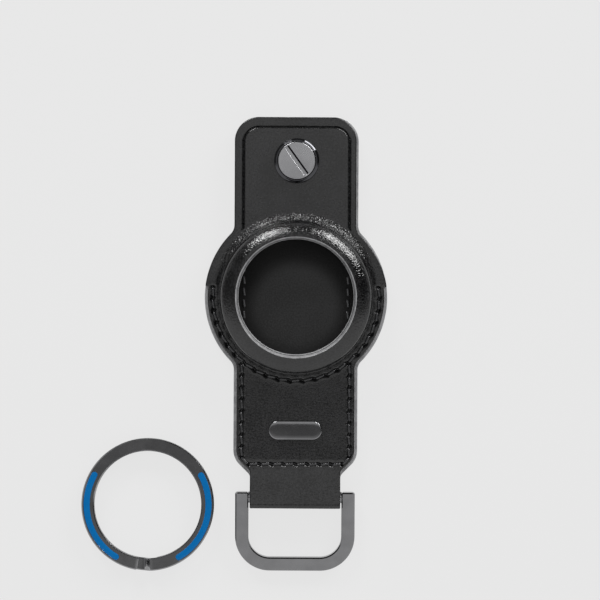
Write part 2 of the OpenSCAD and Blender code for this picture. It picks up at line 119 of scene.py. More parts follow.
@dataclass(frozen=True)
class HolderSizes:
    """Sizes of the leather body, in millimetres."""

    body_w: float = 30.3
    tab_corner_r: float = 5.9
    neck_r: float = 3.0
    shoulder_drop: float = 39.4
    shoulder_r: float = 4.9
    shoulder_angle: float = 45.0
    crotch_r: float = 1.8
    hem: float = 1.2
    edge_step: float = 0.7
    strap_w: float = 22.1
    seam_inset: float = 2.1
    seam_shift: float = 0.42
    crease_w: float = 0.7
    stitch_pitch: float = 3.0
    stitch_l: float = 2.3
    stitch_slant: float = 7.0
    thread_w: float = 0.6
    thread_t: float = 0.35
    post_hole_r: float = 2.35
    flap_hole_r: float = 2.75
    tab_top: float = field(default_factory=lambda: box_mm("leaf_leather")[1][1])
    disc_r: float = field(default_factory=lambda: box_mm("leaf_leather")[1][0])
    lining_z: float = field(default_factory=lambda: box_mm("back_leather")[1][2])
    inner_z: float = field(default_factory=lambda: box_mm("back_lining")[1][2])
    fold_y: float = field(default_factory=lambda: joint_point("leaf_fold")[1])
    screw_y: float = field(default_factory=lambda: joint_point("screw_turn")[1])
    front_z: float = field(default_factory=lambda: box_mm("badge_clip")[1][2])
    front_top: float = field(default_factory=lambda: box_mm("screw_rosette")[0][2])

    @property
    def leather_t(self) -> float:
        """Thickness of the leather."""
        return self.front_top - self.front_z

    @property
    def strap_start(self) -> float:
        """Distance from the pocket's axis down to the body's lower edge."""
        return self.shoulder_drop + (self.body_w - self.strap_w) / 2 + self.hem

    @property
    def seam_r(self) -> float:
        """Radius of the seam round the pocket."""
        return self.disc_r - self.seam_inset

    @property
    def seam_x(self) -> float:
        """Sideways distance of the straight seams."""
        return self.body_w / 2 - self.edge_step - self.seam_inset + self.crease_w / 2

    @property
    def body_seam_x(self) -> float:
        """Sideways distance of the rows through all layers, which lie a little further out."""
        return self.seam_x + self.seam_shift

    @property
    def seam_low(self) -> float:
        """Distance from the pocket's axis down to the lowest seam."""
        return self.strap_start - self.hem - self.seam_inset - self.edge_step

    @property
    def seam_high(self) -> float:
        """Distance from the pocket's axis up to the seam over the leaf."""
        return self.tab_top - self.seam_inset

    @property
    def join_low(self) -> float:
        """Distance down to where the round seam meets the straight ones."""
        return math.sqrt(self.seam_r**2 - self.body_seam_x**2)


def arc(centre: Sequence[float], r: float, start: float, end: float, count: int) -> Array:
    """Points of an arc, both ends included.

    Args:
        centre: Centre of the arc.
        r: Radius.
        start: First angle in degrees.
        end: Last angle in degrees.
        count: Number of points.

    Returns:
        The points, one row each.
    """
    angles = np.radians(np.linspace(start, end, count))
    return np.c_[centre[0] + r * np.cos(angles), centre[1] + r * np.sin(angles)]


def circle(centre: Sequence[float], r: float, count: int) -> Array:
    """Points of a whole circle, counter-clockwise, the first one on the +X side."""
    return arc(centre, r, 0, 360 - 360 / count, count)


def quarter_round(r: float, steps: int) -> Array:
    """How far a rounded corner lies in from its side and below its top, from the side to the top."""
    a = np.linspace(0, math.pi / 2, steps + 1)
    return r * np.c_[1 - np.cos(a), 1 - np.sin(a)]


def distance_along(path: Array) -> Array:
    """Distance of each point of a path from its start, along the path."""
    return np.concatenate([[0], np.cumsum(np.linalg.norm(np.diff(path, axis=0), axis=1))])


def square_to(path: Array) -> Array:
    """Unit vector at each point of a flat path that looks square to it, to its right."""
    way = np.gradient(path, axis=0)
    way /= np.linalg.norm(way, axis=1)[:, None]
    return np.c_[way[:, 1], -way[:, 0]]


def rounded_path(corners: Sequence[Sequence[float]], radii: Sequence[float], step: float) -> Array:
    """A path along straight runs whose inner corners are rounded by arcs.

    Args:
        corners: Corners of the path, both ends included.
        radii: Radius at each inner corner.
        step: Rough distance between points.

    Returns:
        The points of the path.
    """
    points = np.array(corners, float)
    made = [points[:1]]
    for before, corner, after, r in zip(points, points[1:], points[2:], radii):
        into = (corner - before) / np.linalg.norm(corner - before)
        out = (after - corner) / np.linalg.norm(after - corner)
        turn = math.atan2(into[0] * out[1] - into[1] * out[0], into @ out)
        reach = r * math.tan(abs(turn) / 2)
        side = math.copysign(1, turn)
        centre = corner - into * reach + r * side * np.array([-into[1], into[0]])
        first = math.degrees(math.atan2(*(corner - into * reach - centre)[::-1]))
        count = max(3, math.ceil(abs(turn) * r / step) + 1)
        made.append(arc(centre, r, first, first + math.degrees(turn), count))
    made.append(points[-1:])
    path = np.concatenate(made)
    pieces = [path[:1]]
    for a, b in zip(path, path[1:]):
        count = max(1, math.ceil(np.linalg.norm(b - a) / step))
        pieces.append(a + (b - a) * np.arange(1, count + 1)[:, None] / count)
    return np.concatenate(pieces)


def inside(points: Array, ring: Array) -> Array:
    """Whether each point lies inside a closed ring, by counting crossings."""
    x, y = points[:, 0, None], points[:, 1, None]
    x0, y0 = ring[:, 0], ring[:, 1]
    x1, y1 = np.roll(x0, -1), np.roll(y0, -1)
    rise = np.where(y1 == y0, 1e-9, y1 - y0)
    crossing = ((y0 > y) != (y1 > y)) & (x < x0 + (y - y0) * (x1 - x0) / rise)
    return crossing.sum(1) % 2 == 1


def distance_to(points: Array, targets: Array) -> Array:
    """Distance from each point to the nearest target point, both taken as flat."""
    tree = KDTree(len(targets))
    for number, target in enumerate(targets):
        tree.insert((target[0], target[1], 0.0), number)
    tree.balance()
    return np.array([tree.find((p[0], p[1], 0.0))[2] for p in points])


def hex_grid(low: Sequence[float], high: Sequence[float], pitch: float) -> Array:
    """Points of a triangular grid that covers a box."""
    rows = np.arange(low[1], high[1], pitch * math.sqrt(3) / 2)
    columns = np.arange(low[0], high[0], pitch)
    x = columns[None, :] + (np.arange(len(rows)) % 2)[:, None] * pitch / 2
    y = np.repeat(rows[:, None], len(columns), axis=1)
    return np.c_[x.ravel(), y.ravel()]


def bell(distance: Array, width: float) -> Array:
    """A smooth bump of height 1 whose flanks lie about a width apart."""
    return np.exp(-((distance / (width / 2)) ** 2))


def notch(distance: Array, width: float) -> Array:
    """A sharp groove of depth 1 and the given width, with eased shoulders."""
    return np.clip(1 - distance / (width / 2), 0, 1) ** 2


def smooth_step(x: Array, low: float, high: float) -> Array:
    """Rises smoothly from 0 at low to 1 at high."""
    t = np.clip((x - low) / (high - low), 0, 1)
    return t * t * (3 - 2 * t)


def ripples(points: Array, across: float, up: float, shift: float = 0.0) -> Array:
    """Slow waves from -1 to 1 over a sheet, by how fast they run along X and Y."""
    return np.sin(across * points[:, 0] + shift) * np.sin(up * points[:, 1])


def turned(section: Array, angle: float) -> Array:
    """Stands a section of radii and heights at an angle in degrees round the upright axis."""
    a = math.radians(angle)
    return np.c_[section[:, 0] * math.cos(a), section[:, 0] * math.sin(a), section[:, 1]]


def with_height(points: Array, z: float | Array) -> Array:
    """Gives flat points a height."""
    return np.c_[points[:, :2], np.broadcast_to(z, len(points))]


class Maker:
    """Collects the points and faces of one piece, in millimetres.

    Rings are counter-clockwise seen from +Z. A section is gone round from its outer side over the
    top and down the inside, which turns the faces outwards.
    """

    weld: float = 2e-7
    least_edge: float = 1e-8
    fill_tolerance: float = 1e-7

    def __init__(self) -> None:
        """Starts with no points."""
        self._points: list[Array] = []
        self._count = 0
        self._faces: list[list[int]] = []
        self._finishes: list[int] = []

    def add(self, points: Array) -> Array:
        """Adds points and returns their numbers."""
        self._points.append(np.asarray(points, float))
        self._count += len(points)
        return np.arange(self._count - len(points), self._count)

    def level(self, flat: Array, z: float | Array) -> Array:
        """Adds flat points at a height and returns their numbers."""
        return self.add(with_height(flat, z))

    def strips(self, rings: Sequence[Array], finish: int = 0) -> None:
        """Joins each ring to the next one of equal length by four-sided faces."""
        for a, b in zip(rings, rings[1:]):
            self._take(np.stack([a, np.roll(a, -1), np.roll(b, -1), b], axis=1), finish)

    def cap(self, ring: Array, flip: bool = False, finish: int = 0) -> None:
        """Closes a ring with one face."""
        self._take(ring[None, ::-1] if flip else ring[None, :], finish)

    def tube(self, rings: Sequence[Array], finish: int = 0) -> None:
        """Joins rings to a body that is closed at both ends."""
        self.strips(rings, finish)
        self.cap(rings[0], True, finish)
        self.cap(rings[-1], False, finish)

    def fill(
        self, rim: Array, holes: Sequence[Array], inner: Array, z: float | Array, side: Side
    ) -> None:
        """Fills a rim with triangles through inner points, leaving the holes open.

        Args:
            rim: Numbers of the outer ring's points.
            holes: Numbers of each hole's points.
            inner: New points inside.
            z: Their height.
            side: Side that the faces look to.
        """
        loops = [rim, *holes]
        known = np.concatenate([*loops, self.level(inner, z)])
        flat = self.points()[known][:, :2]
        edges = []
        start = 0
        for loop in loops:
            turn = np.arange(len(loop))
            edges += (np.c_[turn, np.roll(turn, -1)] + start).tolist()
            start += len(loop)
        result = delaunay_2d_cdt([Vector(p) for p in flat], edges, [], 0, self.fill_tolerance)
        back = np.array([source[0] for source in result[3]])
        triangles = back[np.array(result[2])]
        on_rim = (triangles < start).all(1)
        middle = flat[triangles[on_rim]].mean(1)
        keep = inside(middle, flat[:len(rim)])
        first = len(rim)
        for hole in holes:
            keep &= ~inside(middle, flat[first:first + len(hole)])
            first += len(hole)
        kept = np.ones(len(triangles), bool)
        kept[on_rim] = keep
        triangles = known[triangles[kept]]
        self._take(triangles[:, ::side.value], 0)

    def points(self) -> Array:
        """All points so far."""
        return np.concatenate(self._points)

    def shape(self, change: Rule) -> None:
        """Moves all points by a rule."""
        self._points = [change(self.points())]

    def build(self, name: str, materials: Sequence[Material], sharp: float = 40) -> Piece:
        """Makes the object.

        Args:
            name: Name of the piece.
            materials: One material for each finish.
            sharp: Angle in degrees above which an edge stays sharp.

        Returns:
            The new object, at the origin.
        """
        mesh = bpy.data.meshes.new(name)
        mesh.from_pydata((self.points() * MM).tolist(), [], self._faces)
        mesh.polygons.foreach_set("material_index", self._finishes)
        for material in materials:
            mesh.materials.append(material)
        worked = bmesh.new()
        worked.from_mesh(mesh)
        bmesh.ops.remove_doubles(worked, verts=worked.verts, dist=self.weld)
        bmesh.ops.dissolve_degenerate(worked, edges=worked.edges, dist=self.least_edge)
        bmesh.ops.recalc_face_normals(worked, faces=worked.faces)
        worked.to_mesh(mesh)
        worked.free()
        mesh.shade_smooth()
        mesh.set_sharp_from_angle(angle=math.radians(sharp))
        made = bpy.data.objects.new(name, mesh)
        bpy.context.scene.collection.objects.link(made)
        return made

    def _take(self, faces: Array, finish: int) -> None:
        """Keeps faces and their finish."""
        self._faces += faces.tolist()
        self._finishes += [finish] * len(faces)


def lathe(
    maker: Maker, profile: Sequence[Sequence[float]], centre: Sequence[float], count: int
) -> list[Array]:
    """Adds the rings of a profile that is turned round an upright axis.

    Args:
        maker: Collects the points.
        profile: Radius and height of each point, from the outer side over the top.
        centre: Place of the axis.
        count: Number of points in each ring.

    Returns:
        The rings' point numbers.
    """
    return [maker.level(circle(centre, r, count), z) for r, z in profile]


def settle(piece: Piece, body: Body, slot: Slot, *nodes: str) -> Piece:
    """Gives a finished piece its place in the part.

    Args:
        piece: The piece.
        body: Body that it rides on.
        slot: Not used.
        nodes: CAD nodes that it stands for.

    Returns:
        The same piece.
    """
    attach(piece, body.value)
    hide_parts(*nodes)
    return piece


class Value:
    """A shader socket that sums and products can be written with."""

    def __init__(self, graph: "Graph", socket: bpy.types.NodeSocket) -> None:
        """Wraps a socket of a graph."""
        self.graph = graph
        self.socket = socket

    def __add__(self, other: "Value | float") -> "Value":
        """Sum."""
        return self.graph.maths("ADD", self, other)

    def __mul__(self, other: "Value | float") -> "Value":
        """Product."""
        return self.graph.maths("MULTIPLY", self, other)

    def __sub__(self, other: "Value | float") -> "Value":
        """Difference."""
        return self.graph.maths("SUBTRACT", self, other)

    def __rsub__(self, other: "Value | float") -> "Value":
        """Difference from a number."""
        return self.graph.maths("SUBTRACT", other, self)

    def clamped(self) -> "Value":
        """The value held between 0 and 1."""
        return self.graph.maths("ADD", self, 0.0, clamp=True)


class Graph:
    """The nodes of one material or of the world."""

    def __init__(self, tree: bpy.types.NodeTree) -> None:
        """Empties a node tree and works in it."""
        self.tree = tree
        tree.nodes.clear()

    def add(
        self,
        kind: str,
        settings: Mapping[str, object] | None = None,
        sockets: Mapping[str | int, object] | None = None,
    ) -> bpy.types.Node:
        """Adds one node.

        Args:
            kind: Type of the node.
            settings: Properties, set first.
            sockets: Values or links of the inputs, by name or number.

        Returns:
            The node.
        """
        node = self.tree.nodes.new(kind)
        for name, value in (settings or {}).items():
            setattr(node, name, value)
        for name, value in (sockets or {}).items():
            socket = node.inputs[name]
            if isinstance(value, Value):
                self.tree.links.new(value.socket, socket)
            else:
                socket.default_value = value
        return node

    def out(self, node: bpy.types.Node, name: str | int = 0) -> Value:
        """Wraps an output of a node."""
        return Value(self, node.outputs[name])

    def maths(self, operation: str, a: "Value | float", b: "Value | float", clamp: bool = False) -> Value:
        """Adds one Math node."""
        node = self.add("ShaderNodeMath", {"operation": operation, "use_clamp": clamp}, {0: a, 1: b})
        return self.out(node)

    def place(self, stretch: Sequence[float] = (1.0, 1.0, 1.0)) -> Value:
        """The point on the piece in its own frame, stretched along the axes."""
        point = self.out(self.add("ShaderNodeTexCoord"), "Object")
        node = self.add("ShaderNodeVectorMath", {"operation": "MULTIPLY"}, {0: point, 1: stretch})
        return self.out(node)

    def radius(self, middle: Sequence[float] = (0.0, 0.0)) -> Value:
        """Distance from an upright axis, the pocket's unless told otherwise, in millimetres."""
        flat = self.place((1 / MM, 1 / MM, 0.0))
        node = self.add("ShaderNodeVectorMath", {"operation": "DISTANCE"}, {0: flat, 1: (*middle, 0.0)})
        return self.out(node, "Value")

    def along(self, axis: str) -> Value:
        """The place along one axis, in millimetres."""
        node = self.add("ShaderNodeSeparateXYZ", None, {0: self.place((1 / MM, 1 / MM, 1 / MM))})
        return self.out(node, axis)

    def noise(self, size: float, detail: float = 2.0, place: Value | None = None) -> Value:
        """Soft noise whose lumps have about the given size in millimetres."""
        node = self.add(
            "ShaderNodeTexNoise", None,
            {"Vector": place or self.place(), "Scale": 1 / (size * MM), "Detail": detail},
        )
        return self.out(node, "Fac")

    def cells(self, size: float) -> Value:
        """Distance from the borders of cells of about the given size in millimetres."""
        node = self.add(
            "ShaderNodeTexVoronoi", {"feature": "DISTANCE_TO_EDGE"},
            {"Vector": self.place(), "Scale": 1 / (size * MM)},
        )
        return self.out(node, "Distance")

    def between(self, value: Value, low: float, high: float, to_low: float, to_high: float) -> Value:
        """Maps a range of a value smoothly to another range."""
        node = self.add(
            "ShaderNodeMapRange", {"interpolation_type": "SMOOTHSTEP"},
            {"Value": value, "From Min": low, "From Max": high, "To Min": to_low, "To Max": to_high},
        )
        return self.out(node)

    def zone(self, value: Value, low: float, high: float, ease: float = 0.4) -> Value:
        """1 between two limits and 0 outside, with soft flanks."""
        above = self.between(value, low - ease, low + ease, 0.0, 1.0)
        return above * self.between(value, high - ease, high + ease, 1.0, 0.0)

    def mix_colours(self, share: "Value | float", a: Sequence[float], b: Sequence[float]) -> Value:
        """Mixes two colours."""
        node = self.add("ShaderNodeMix", {"data_type": "RGBA"}, {0: share, 6: (*a, 1), 7: (*b, 1)})
        return self.out(node, 2)

    def bump(self, height: Value, depth: float) -> Value:
        """Turns a height from 0 to 1 into a normal, with a depth in millimetres."""
        node = self.add("ShaderNodeBump", None, {"Height": height, "Distance": depth * MM})
        return self.out(node, "Normal")

    def surface(self, sockets: Mapping[str | int, object]) -> None:
        """Ends the graph in a Principled shader with these inputs."""
        shader = self.add("ShaderNodeBsdfPrincipled", None, sockets)
        self.add("ShaderNodeOutputMaterial", None, {"Surface": self.out(shader)})


def new_material(name: str) -> tuple[Material, Graph]:
    """An empty material and its graph."""
    material = bpy.data.materials.new(name)
    material.use_nodes = True
    return material, Graph(material.node_tree)


class Finish(ABC):
    """A finish that makes a material of its own name."""

    name: str

    @abstractmethod
    def dress(self, graph: Graph) -> None:
        """Adds the nodes of the finish."""

    def material(self) -> Material:
        """Makes the material."""
        made, graph = new_material(self.name)
        self.dress(graph)
        return made


@dataclass(frozen=True)
class LeatherFinish(Finish):
    """Smooth polished calf leather with a fine grain."""

    name: str
    colour: tuple[float, float, float] = (0.0010, 0.0010, 0.0011)
    worn_colour: tuple[float, float, float] = (0.0110, 0.0110, 0.0115)
    roughness: float = 0.22
    ior: float = 1.55
    grain_size: float = 0.5
    swell_size: float = 0.45
    grain_depth: float = 0.014
    valley_share: float = 0.4
    worked: bool = False
    crown_gain: float = 2.0
    crown_span: tuple[float, float] = (15.8, 17.6)
    foot_gain: float = 5.5
    foot_span: tuple[float, float] = (18.9, 20.7)
    foot_from: tuple[float, float] = (5.0, 11.0)
    polish: float = 0.1
    # Painted shade: the lining's colour darkens away from a point below the pocket's middle, most at the
    # pocket's top.
    painted_pocket_shade: bool = False
    pocket_shade_middle: tuple[float, float] = (0.0, -2.5)
    pocket_shade_span: tuple[float, float] = (8.5, 13.6)
    dullness: float = 0.4

    def dress(self, graph: Graph) -> None:
        """Adds the nodes of the finish."""
        cell = graph.between(graph.cells(self.grain_size), 0.0, 0.3, 0.0, 1.0)
        swell = graph.noise(self.swell_size, 2.0)
        height = cell * self.valley_share + swell
        clouds = graph.noise(6.0, 4.0)
        tone = graph.between(clouds * 0.3 + swell * 0.7, 0.38, 0.62, 0.0, 1.0)
        rough = tone * 0.05 + graph.noise(0.9, 3.0) * 0.08 + (1 - cell) * 0.04 + (self.roughness - 0.08)
        if self.worked:
            r = graph.radius()
            crown = graph.zone(r, *self.crown_span)
            towards_tab = graph.between(graph.along("Y"), *self.foot_from, 0.0, 1.0)
            foot = graph.zone(r, *self.foot_span) * towards_tab
            height = height * (crown * (clouds * self.crown_gain) + foot * self.foot_gain + 1)
            rough = rough - (crown + foot) * self.polish
        # Painted shade of the pocket's wall: darker colour towards the window's rim, most at its top; the
        # added roughness is real.
        if self.painted_pocket_shade:
            from_middle = graph.radius(self.pocket_shade_middle)
            shade_and_dull = graph.between(from_middle, *self.pocket_shade_span, 0.0, 1.0)
            tone = tone * (1 - shade_and_dull)
            rough = rough + shade_and_dull * self.dullness
        graph.surface({
            "Base Color": graph.mix_colours(tone, self.colour, self.worn_colour),
            "Roughness": rough,
            "IOR": self.ior,
            "Normal": graph.bump(height, self.grain_depth),
        })


@dataclass(frozen=True)
class EdgeFinish(Finish):
    """Painted and polished leather edge."""

    name: str
    colour: tuple[float, float, float] = (0.28, 0.28, 0.285)
    thin_colour: tuple[float, float, float] = (0.2, 0.2, 0.205)
    roughness: float = 0.34

    def dress(self, graph: Graph) -> None:
        """Adds the nodes of the finish."""
        runs = graph.noise(1.4, 3.0)
        fine = graph.noise(0.25, 2.0)
        graph.surface({
            "Base Color": graph.mix_colours(
                graph.between(runs, 0.35, 0.65, 0.0, 1.0), self.thin_colour, self.colour
            ),
            "Roughness": runs * 0.15 + (self.roughness - 0.07),
            "IOR": 1.5,
            "Normal": graph.bump(runs + fine * 0.4, 0.03),
        })


@dataclass(frozen=True)
class ThreadFinish(Finish):
    """Waxed polyester thread."""

    name: str
    colour: tuple[float, float, float] = (0.010, 0.010, 0.011)
    # Second fibre colour; in the lighter window thread both colours are raised as painted sheen.
    fibre_and_sheen_colour: tuple[float, float, float] = (0.022, 0.022, 0.024)
    roughness: float = 0.22

    def dress(self, graph: Graph) -> None:
        """Adds the nodes of the finish."""
        fibres = graph.noise(0.2, 3.0, graph.place((1.0, 1.0, 3.0)))
        graph.surface({
            "Base Color": graph.mix_colours(fibres, self.colour, self.fibre_and_sheen_colour),
            "Roughness": fibres * 0.2 + (self.roughness - 0.1),
            "IOR": 1.6,
            "Normal": graph.bump(fibres, 0.07),
        })


@dataclass(frozen=True)
class PlatedFinish(Finish):
    """Metal plating, polished or satin."""

    name: str
    colour: tuple[float, float, float]
    roughness: float
    brushed: tuple[float, float, float] = (1.0, 1.0, 1.0)
    line_size: float = 0.3
    line_depth: float = 0.0008
    patches: float = 0.06

    def dress(self, graph: Graph) -> None:
        """Adds the nodes of the finish."""
        lines = graph.noise(self.line_size, 3.0, graph.place(self.brushed))
        clouds = graph.noise(4.0, 4.0)
        darker = tuple(c * 0.86 for c in self.colour)
        graph.surface({
            "Base Color": graph.mix_colours(
                graph.between(clouds, 0.3, 0.7, 0.0, 1.0), darker, self.colour
            ),
            "Metallic": 1.0,
            "Roughness": clouds * self.patches + lines * self.patches + (self.roughness - self.patches),
            "Normal": graph.bump(lines, self.line_depth),
        })


@dataclass(frozen=True)
class EnamelFinish(Finish):
    """Hard glossy enamel, filled into the ring's channels."""

    name: str
    colour: tuple[float, float, float] = (0.0, 0.130, 0.375)
    deep_colour: tuple[float, float, float] = (0.0, 0.112, 0.33)

    def dress(self, graph: Graph) -> None:
        """Adds the nodes of the finish."""
        clouds = graph.noise(1.8, 3.0)
        graph.surface({
            "Base Color": graph.mix_colours(clouds, self.deep_colour, self.colour),
            "Roughness": clouds * 0.1 + 0.16,
            "IOR": 1.28,
            "Normal": graph.bump(clouds, 0.008),
        })


@dataclass(frozen=True)
class Stretch:
    """A round stretch of an outline, with its angles in degrees; radius 0 is a plain corner."""

    centre: Array
    r: float
    start: float
    end: float

    def length(self) -> float:
        """Length along the arc."""
        return self.r * abs(math.radians(self.end - self.start))

    def at(self, angle: float) -> Array:
        """The point at an angle."""
        a = math.radians(angle)
        return self.centre + self.r * np.array([math.cos(a), math.sin(a)])

    def points(self, count: int) -> Array:
        """Points along the stretch, or its corner alone."""
        return arc(self.centre, self.r, self.start, self.end, count) if self.r > 0 else self.centre[None]


@dataclass(frozen=True)
class Outline:
    """Outline of one layer of the body, drawn in by one inset above the fold and another below.

    The strap keeps its width. The end is how far the strap reaches down.
    """

    sizes: HolderSizes
    upper: float
    lower: float
    end: float
    pitch: float = 0.3

    def ring(self, inset: float = 0.0) -> Array:
        """Points of the outline, drawn in everywhere by a further inset."""
        right = self._right(inset)
        left = right[::-1] * np.array([-1.0, 1.0])
        runs = math.ceil((self.sizes.body_w - 2 * self.sizes.tab_corner_r) / self.pitch)
        across = np.linspace(left[-1], right[0], runs + 1)[1:-1]
        return np.concatenate([left, across, right])[::-1]

    def _right(self, inset: float) -> Array:
        """Right half from the top down."""
        made = []
        last = plain_last = None
        for here, plain in zip(self._stretches(inset), self._stretches(0.0)):
            if made:
                runs = max(1, math.ceil(math.dist(plain_last, plain.at(plain.start)) / self.pitch))
                shares = (np.arange(1, runs) / runs)[:, None]
                made.append(last + (here.at(here.start) - last) * shares)
            made.append(here.points(max(2, math.ceil(plain.length() / self.pitch) + 1)))
            last, plain_last = here.at(here.end), plain.at(plain.end)
        return np.concatenate(made)

    def _stretches(self, inset: float) -> list[Stretch]:
        """The round stretches of the right half."""
        s = self.sizes
        upper, lower = self.upper + inset, self.lower + inset
        half_w, turn = s.body_w / 2, s.shoulder_angle
        neck_x = half_w + s.neck_r
        neck_y = math.sqrt((s.disc_r + s.neck_r) ** 2 - neck_x**2)
        neck_angle = math.degrees(math.atan2(neck_y, neck_x))
        fold_upper = math.degrees(math.asin(s.fold_y / (s.disc_r - self.upper)))
        fold_lower = math.degrees(math.asin(s.fold_y / (s.disc_r - self.lower)))
        reach = half_w + s.shoulder_drop - math.sqrt(2) * self.lower
        crotch_x = s.strap_w / 2 + s.crotch_r
        crotch_y = crotch_x - reach - math.sqrt(2) * s.crotch_r
        shoulder_y = s.shoulder_r * math.tan(math.radians(turn / 2)) - s.shoulder_drop
        top = np.array([half_w - s.tab_corner_r, s.tab_top - s.tab_corner_r])
        return [
            Stretch(top, s.tab_corner_r - upper, 90, 0),
            Stretch(np.array([neck_x, neck_y]), s.neck_r + upper, 180, 180 + neck_angle),
            Stretch(np.zeros(2), s.disc_r - upper, neck_angle, fold_upper),
            Stretch(np.zeros(2), s.disc_r - lower, fold_lower, -neck_angle),
            Stretch(np.array([neck_x, -neck_y]), s.neck_r + lower, 180 - neck_angle, 180),
            Stretch(np.array([half_w - s.shoulder_r, shoulder_y]), s.shoulder_r - lower, 0, -turn),
            Stretch(np.array([crotch_x, crotch_y]), s.crotch_r + inset, 180 - turn, 180),
            Stretch(np.array([s.strap_w / 2 - inset, -self.end + inset]), 0.0, 0, 0),
        ]


@dataclass(frozen=True)
class Stitch:
    """Place and direction of one stitch."""

    x: float
    y: float
    angle: float

    @property
    def way(self) -> Array:
        """Unit vector along the stitch."""
        a = math.radians(self.angle)
        return np.array([math.cos(a), math.sin(a)])

    def holes(self, length: float) -> Array:
        """Both needle holes."""
        return np.array([self.x, self.y]) + np.outer([-1, 1], self.way) * length / 2


@dataclass(frozen=True)
class SeamPlan:
    """Stitches and furrows of the body's two seams."""

    sizes: HolderSizes
    corner_share: float = 0.5
    furrow_share: float = 1.7
    hole_over: float = 0.15
    hole_depth: float = 0.45
    hole_w: float = 0.7
    dimple_depth: float = 0.05
    dimple_w: float = 1.6

    def row(self, start: Sequence[float], end: Sequence[float]) -> list[Stitch]:
        """Stitches in a straight row."""
        a, b = np.array(start, float), np.array(end, float)
        run = b - a
        count = max(1, round(float(np.linalg.norm(run)) / self.sizes.stitch_pitch))
        angle = math.degrees(math.atan2(run[1], run[0])) + self.sizes.stitch_slant
        return [Stitch(*(a + run * (i + 0.5) / count), angle) for i in range(count)]

    def sewn(self) -> list[Stitch]:
        """The seam through all layers: round the pocket and round the lower body."""
        s = self.sizes
        gap = s.stitch_pitch * self.corner_share
        half = 90 + math.degrees(math.asin(s.fold_y / s.seam_r))
        count = round(s.seam_r * math.radians(2 * half) / s.stitch_pitch)
        made = []
        for i in range(count):
            a = -half + 2 * half * (i + 0.5) / count
            x, y = s.seam_r * math.sin(math.radians(a)), -s.seam_r * math.cos(math.radians(a))
            made.append(Stitch(x, y, a + s.stitch_slant))
        for side in (-1, 1):
            x = side * s.body_seam_x
            made += self.row((x, -s.join_low - s.thread_w), (x, -s.seam_low + gap))
            made.append(Stitch(x - side * gap / 2, -s.seam_low + gap / 2, side * 45))
        made += self.row((-s.body_seam_x + gap, -s.seam_low), (s.body_seam_x - gap, -s.seam_low))
        return made

    def cover(self) -> list[Stitch]:
        """The seam of the back cover: up both sides and over the top of the leaf."""
        s = self.sizes
        gap = s.stitch_pitch * self.corner_share
        made = []
        for side in (-1, 1):
            x = side * s.seam_x
            made += self.row((x, -s.join_low + s.stitch_l / 2), (x, s.fold_y))
            made += self.row((x, s.fold_y), (x, s.seam_high - gap))
        made += self.row((-s.seam_x + gap, s.seam_high), (s.seam_x - gap, s.seam_high))
        return made

    def sewn_distance(self, points: Array) -> Array:
        """Distance of each point from the seam through all layers."""
        s = self.sizes
        x, y = np.abs(points[:, 0]), points[:, 1]
        round_part = np.where(y < s.fold_y, np.abs(np.hypot(x, y) - s.seam_r), np.inf)
        upright = np.where((y < -s.join_low) & (y > -s.seam_low), np.abs(x - s.body_seam_x), np.inf)
        lowest = np.where(x < s.body_seam_x, np.abs(y + s.seam_low), np.inf)
        corner = np.hypot(x - s.body_seam_x, y + s.seam_low)
        return np.minimum.reduce([round_part, upright, lowest, corner])

    def cover_distance(self, points: Array) -> Array:
        """Distance of each point from the back cover's seam."""
        s = self.sizes
        x, y = np.abs(points[:, 0]), points[:, 1]
        upright = np.where((y > -s.join_low) & (y < s.seam_high), np.abs(x - s.seam_x), np.inf)
        highest = np.where(x < s.seam_x, np.abs(y - s.seam_high), np.inf)
        return np.minimum(upright, highest)

    def relief(
        self, points: Array, distance: Array, stitches: list[Stitch], depth: float
    ) -> Array:
        """How deep the thread and the needle press the leather.

        Args:
            points: The points that are asked about.
            distance: Distance of each point from the seam.
            stitches: The seam's stitches.
            depth: Depth of the furrow under the thread.

        Returns:
            The depth at each point.
        """
        s = self.sizes
        pressed = depth * bell(distance, self.furrow_share * s.thread_w)
        for stitch in stitches:
            for hole in stitch.holes(s.stitch_l + self.hole_over):
                away = np.hypot(points[:, 0] - hole[0], points[:, 1] - hole[1])
                pressed = pressed + self.hole_depth * bell(away, self.hole_w)
                pressed = pressed + self.dimple_depth * bell(away, self.dimple_w)
        return pressed


@dataclass(frozen=True)
class Threads:
    """Stitches of twisted thread, each one diving into its two needle holes."""

    sizes: HolderSizes
    sides: int = 12
    stations: int = 17
    plies: int = 3
    lay: float = 1.1
    ply_relief: float = 0.09
    dive: float = 0.42
    dive_from: float = 0.66
    arch: float = 0.05
    narrowing: float = 0.3
    overlap: float = 0.05
    lay_shift: float = 0.37
    sharp: float = 70.0

    def sew(
        self, maker: Maker, stitches: Sequence[Stitch], bed: float, side: Side, finish: int = 0
    ) -> None:
        """Adds stitches on a bed.

        Args:
            maker: Collects the faces.
            stitches: Places of the stitches.
            bed: Height of the leather under the thread.
            side: Side of the leather that the thread lies on.
            finish: Finish of the thread.
        """
        s = self.sizes
        t = np.linspace(-1, 1, self.stations)
        around = np.linspace(0, 2 * math.pi, self.sides, endpoint=False)
        sunk = smooth_step(np.abs(t), self.dive_from, 1.0)
        middle = s.thread_t / 2 + self.arch * (1 - t * t) - self.dive * sunk
        narrow = 1 - self.narrowing * sunk
        along = t * (s.stitch_l / 2 + self.overlap)
        for number, stitch in enumerate(stitches):
            laid = 2 * math.pi * (along[:, None] + number * self.lay_shift) / self.lay
            swell = 1 + self.ply_relief * np.cos(self.plies * (around[None, :] - laid))
            swell = swell * narrow[:, None]
            across = s.thread_w / 2 * np.cos(around)[None, :] * swell
            up = middle[:, None] + s.thread_t / 2 * np.sin(around)[None, :] * swell
            way = stitch.way
            aside = np.array([-way[1], way[0]])
            rings = []
            for i in range(self.stations):
                flat = np.array([stitch.x, stitch.y]) + along[i] * way + across[i][:, None] * aside
                rings.append(maker.level(flat, bed + side.value * up[i]))
            maker.tube(rings, finish)


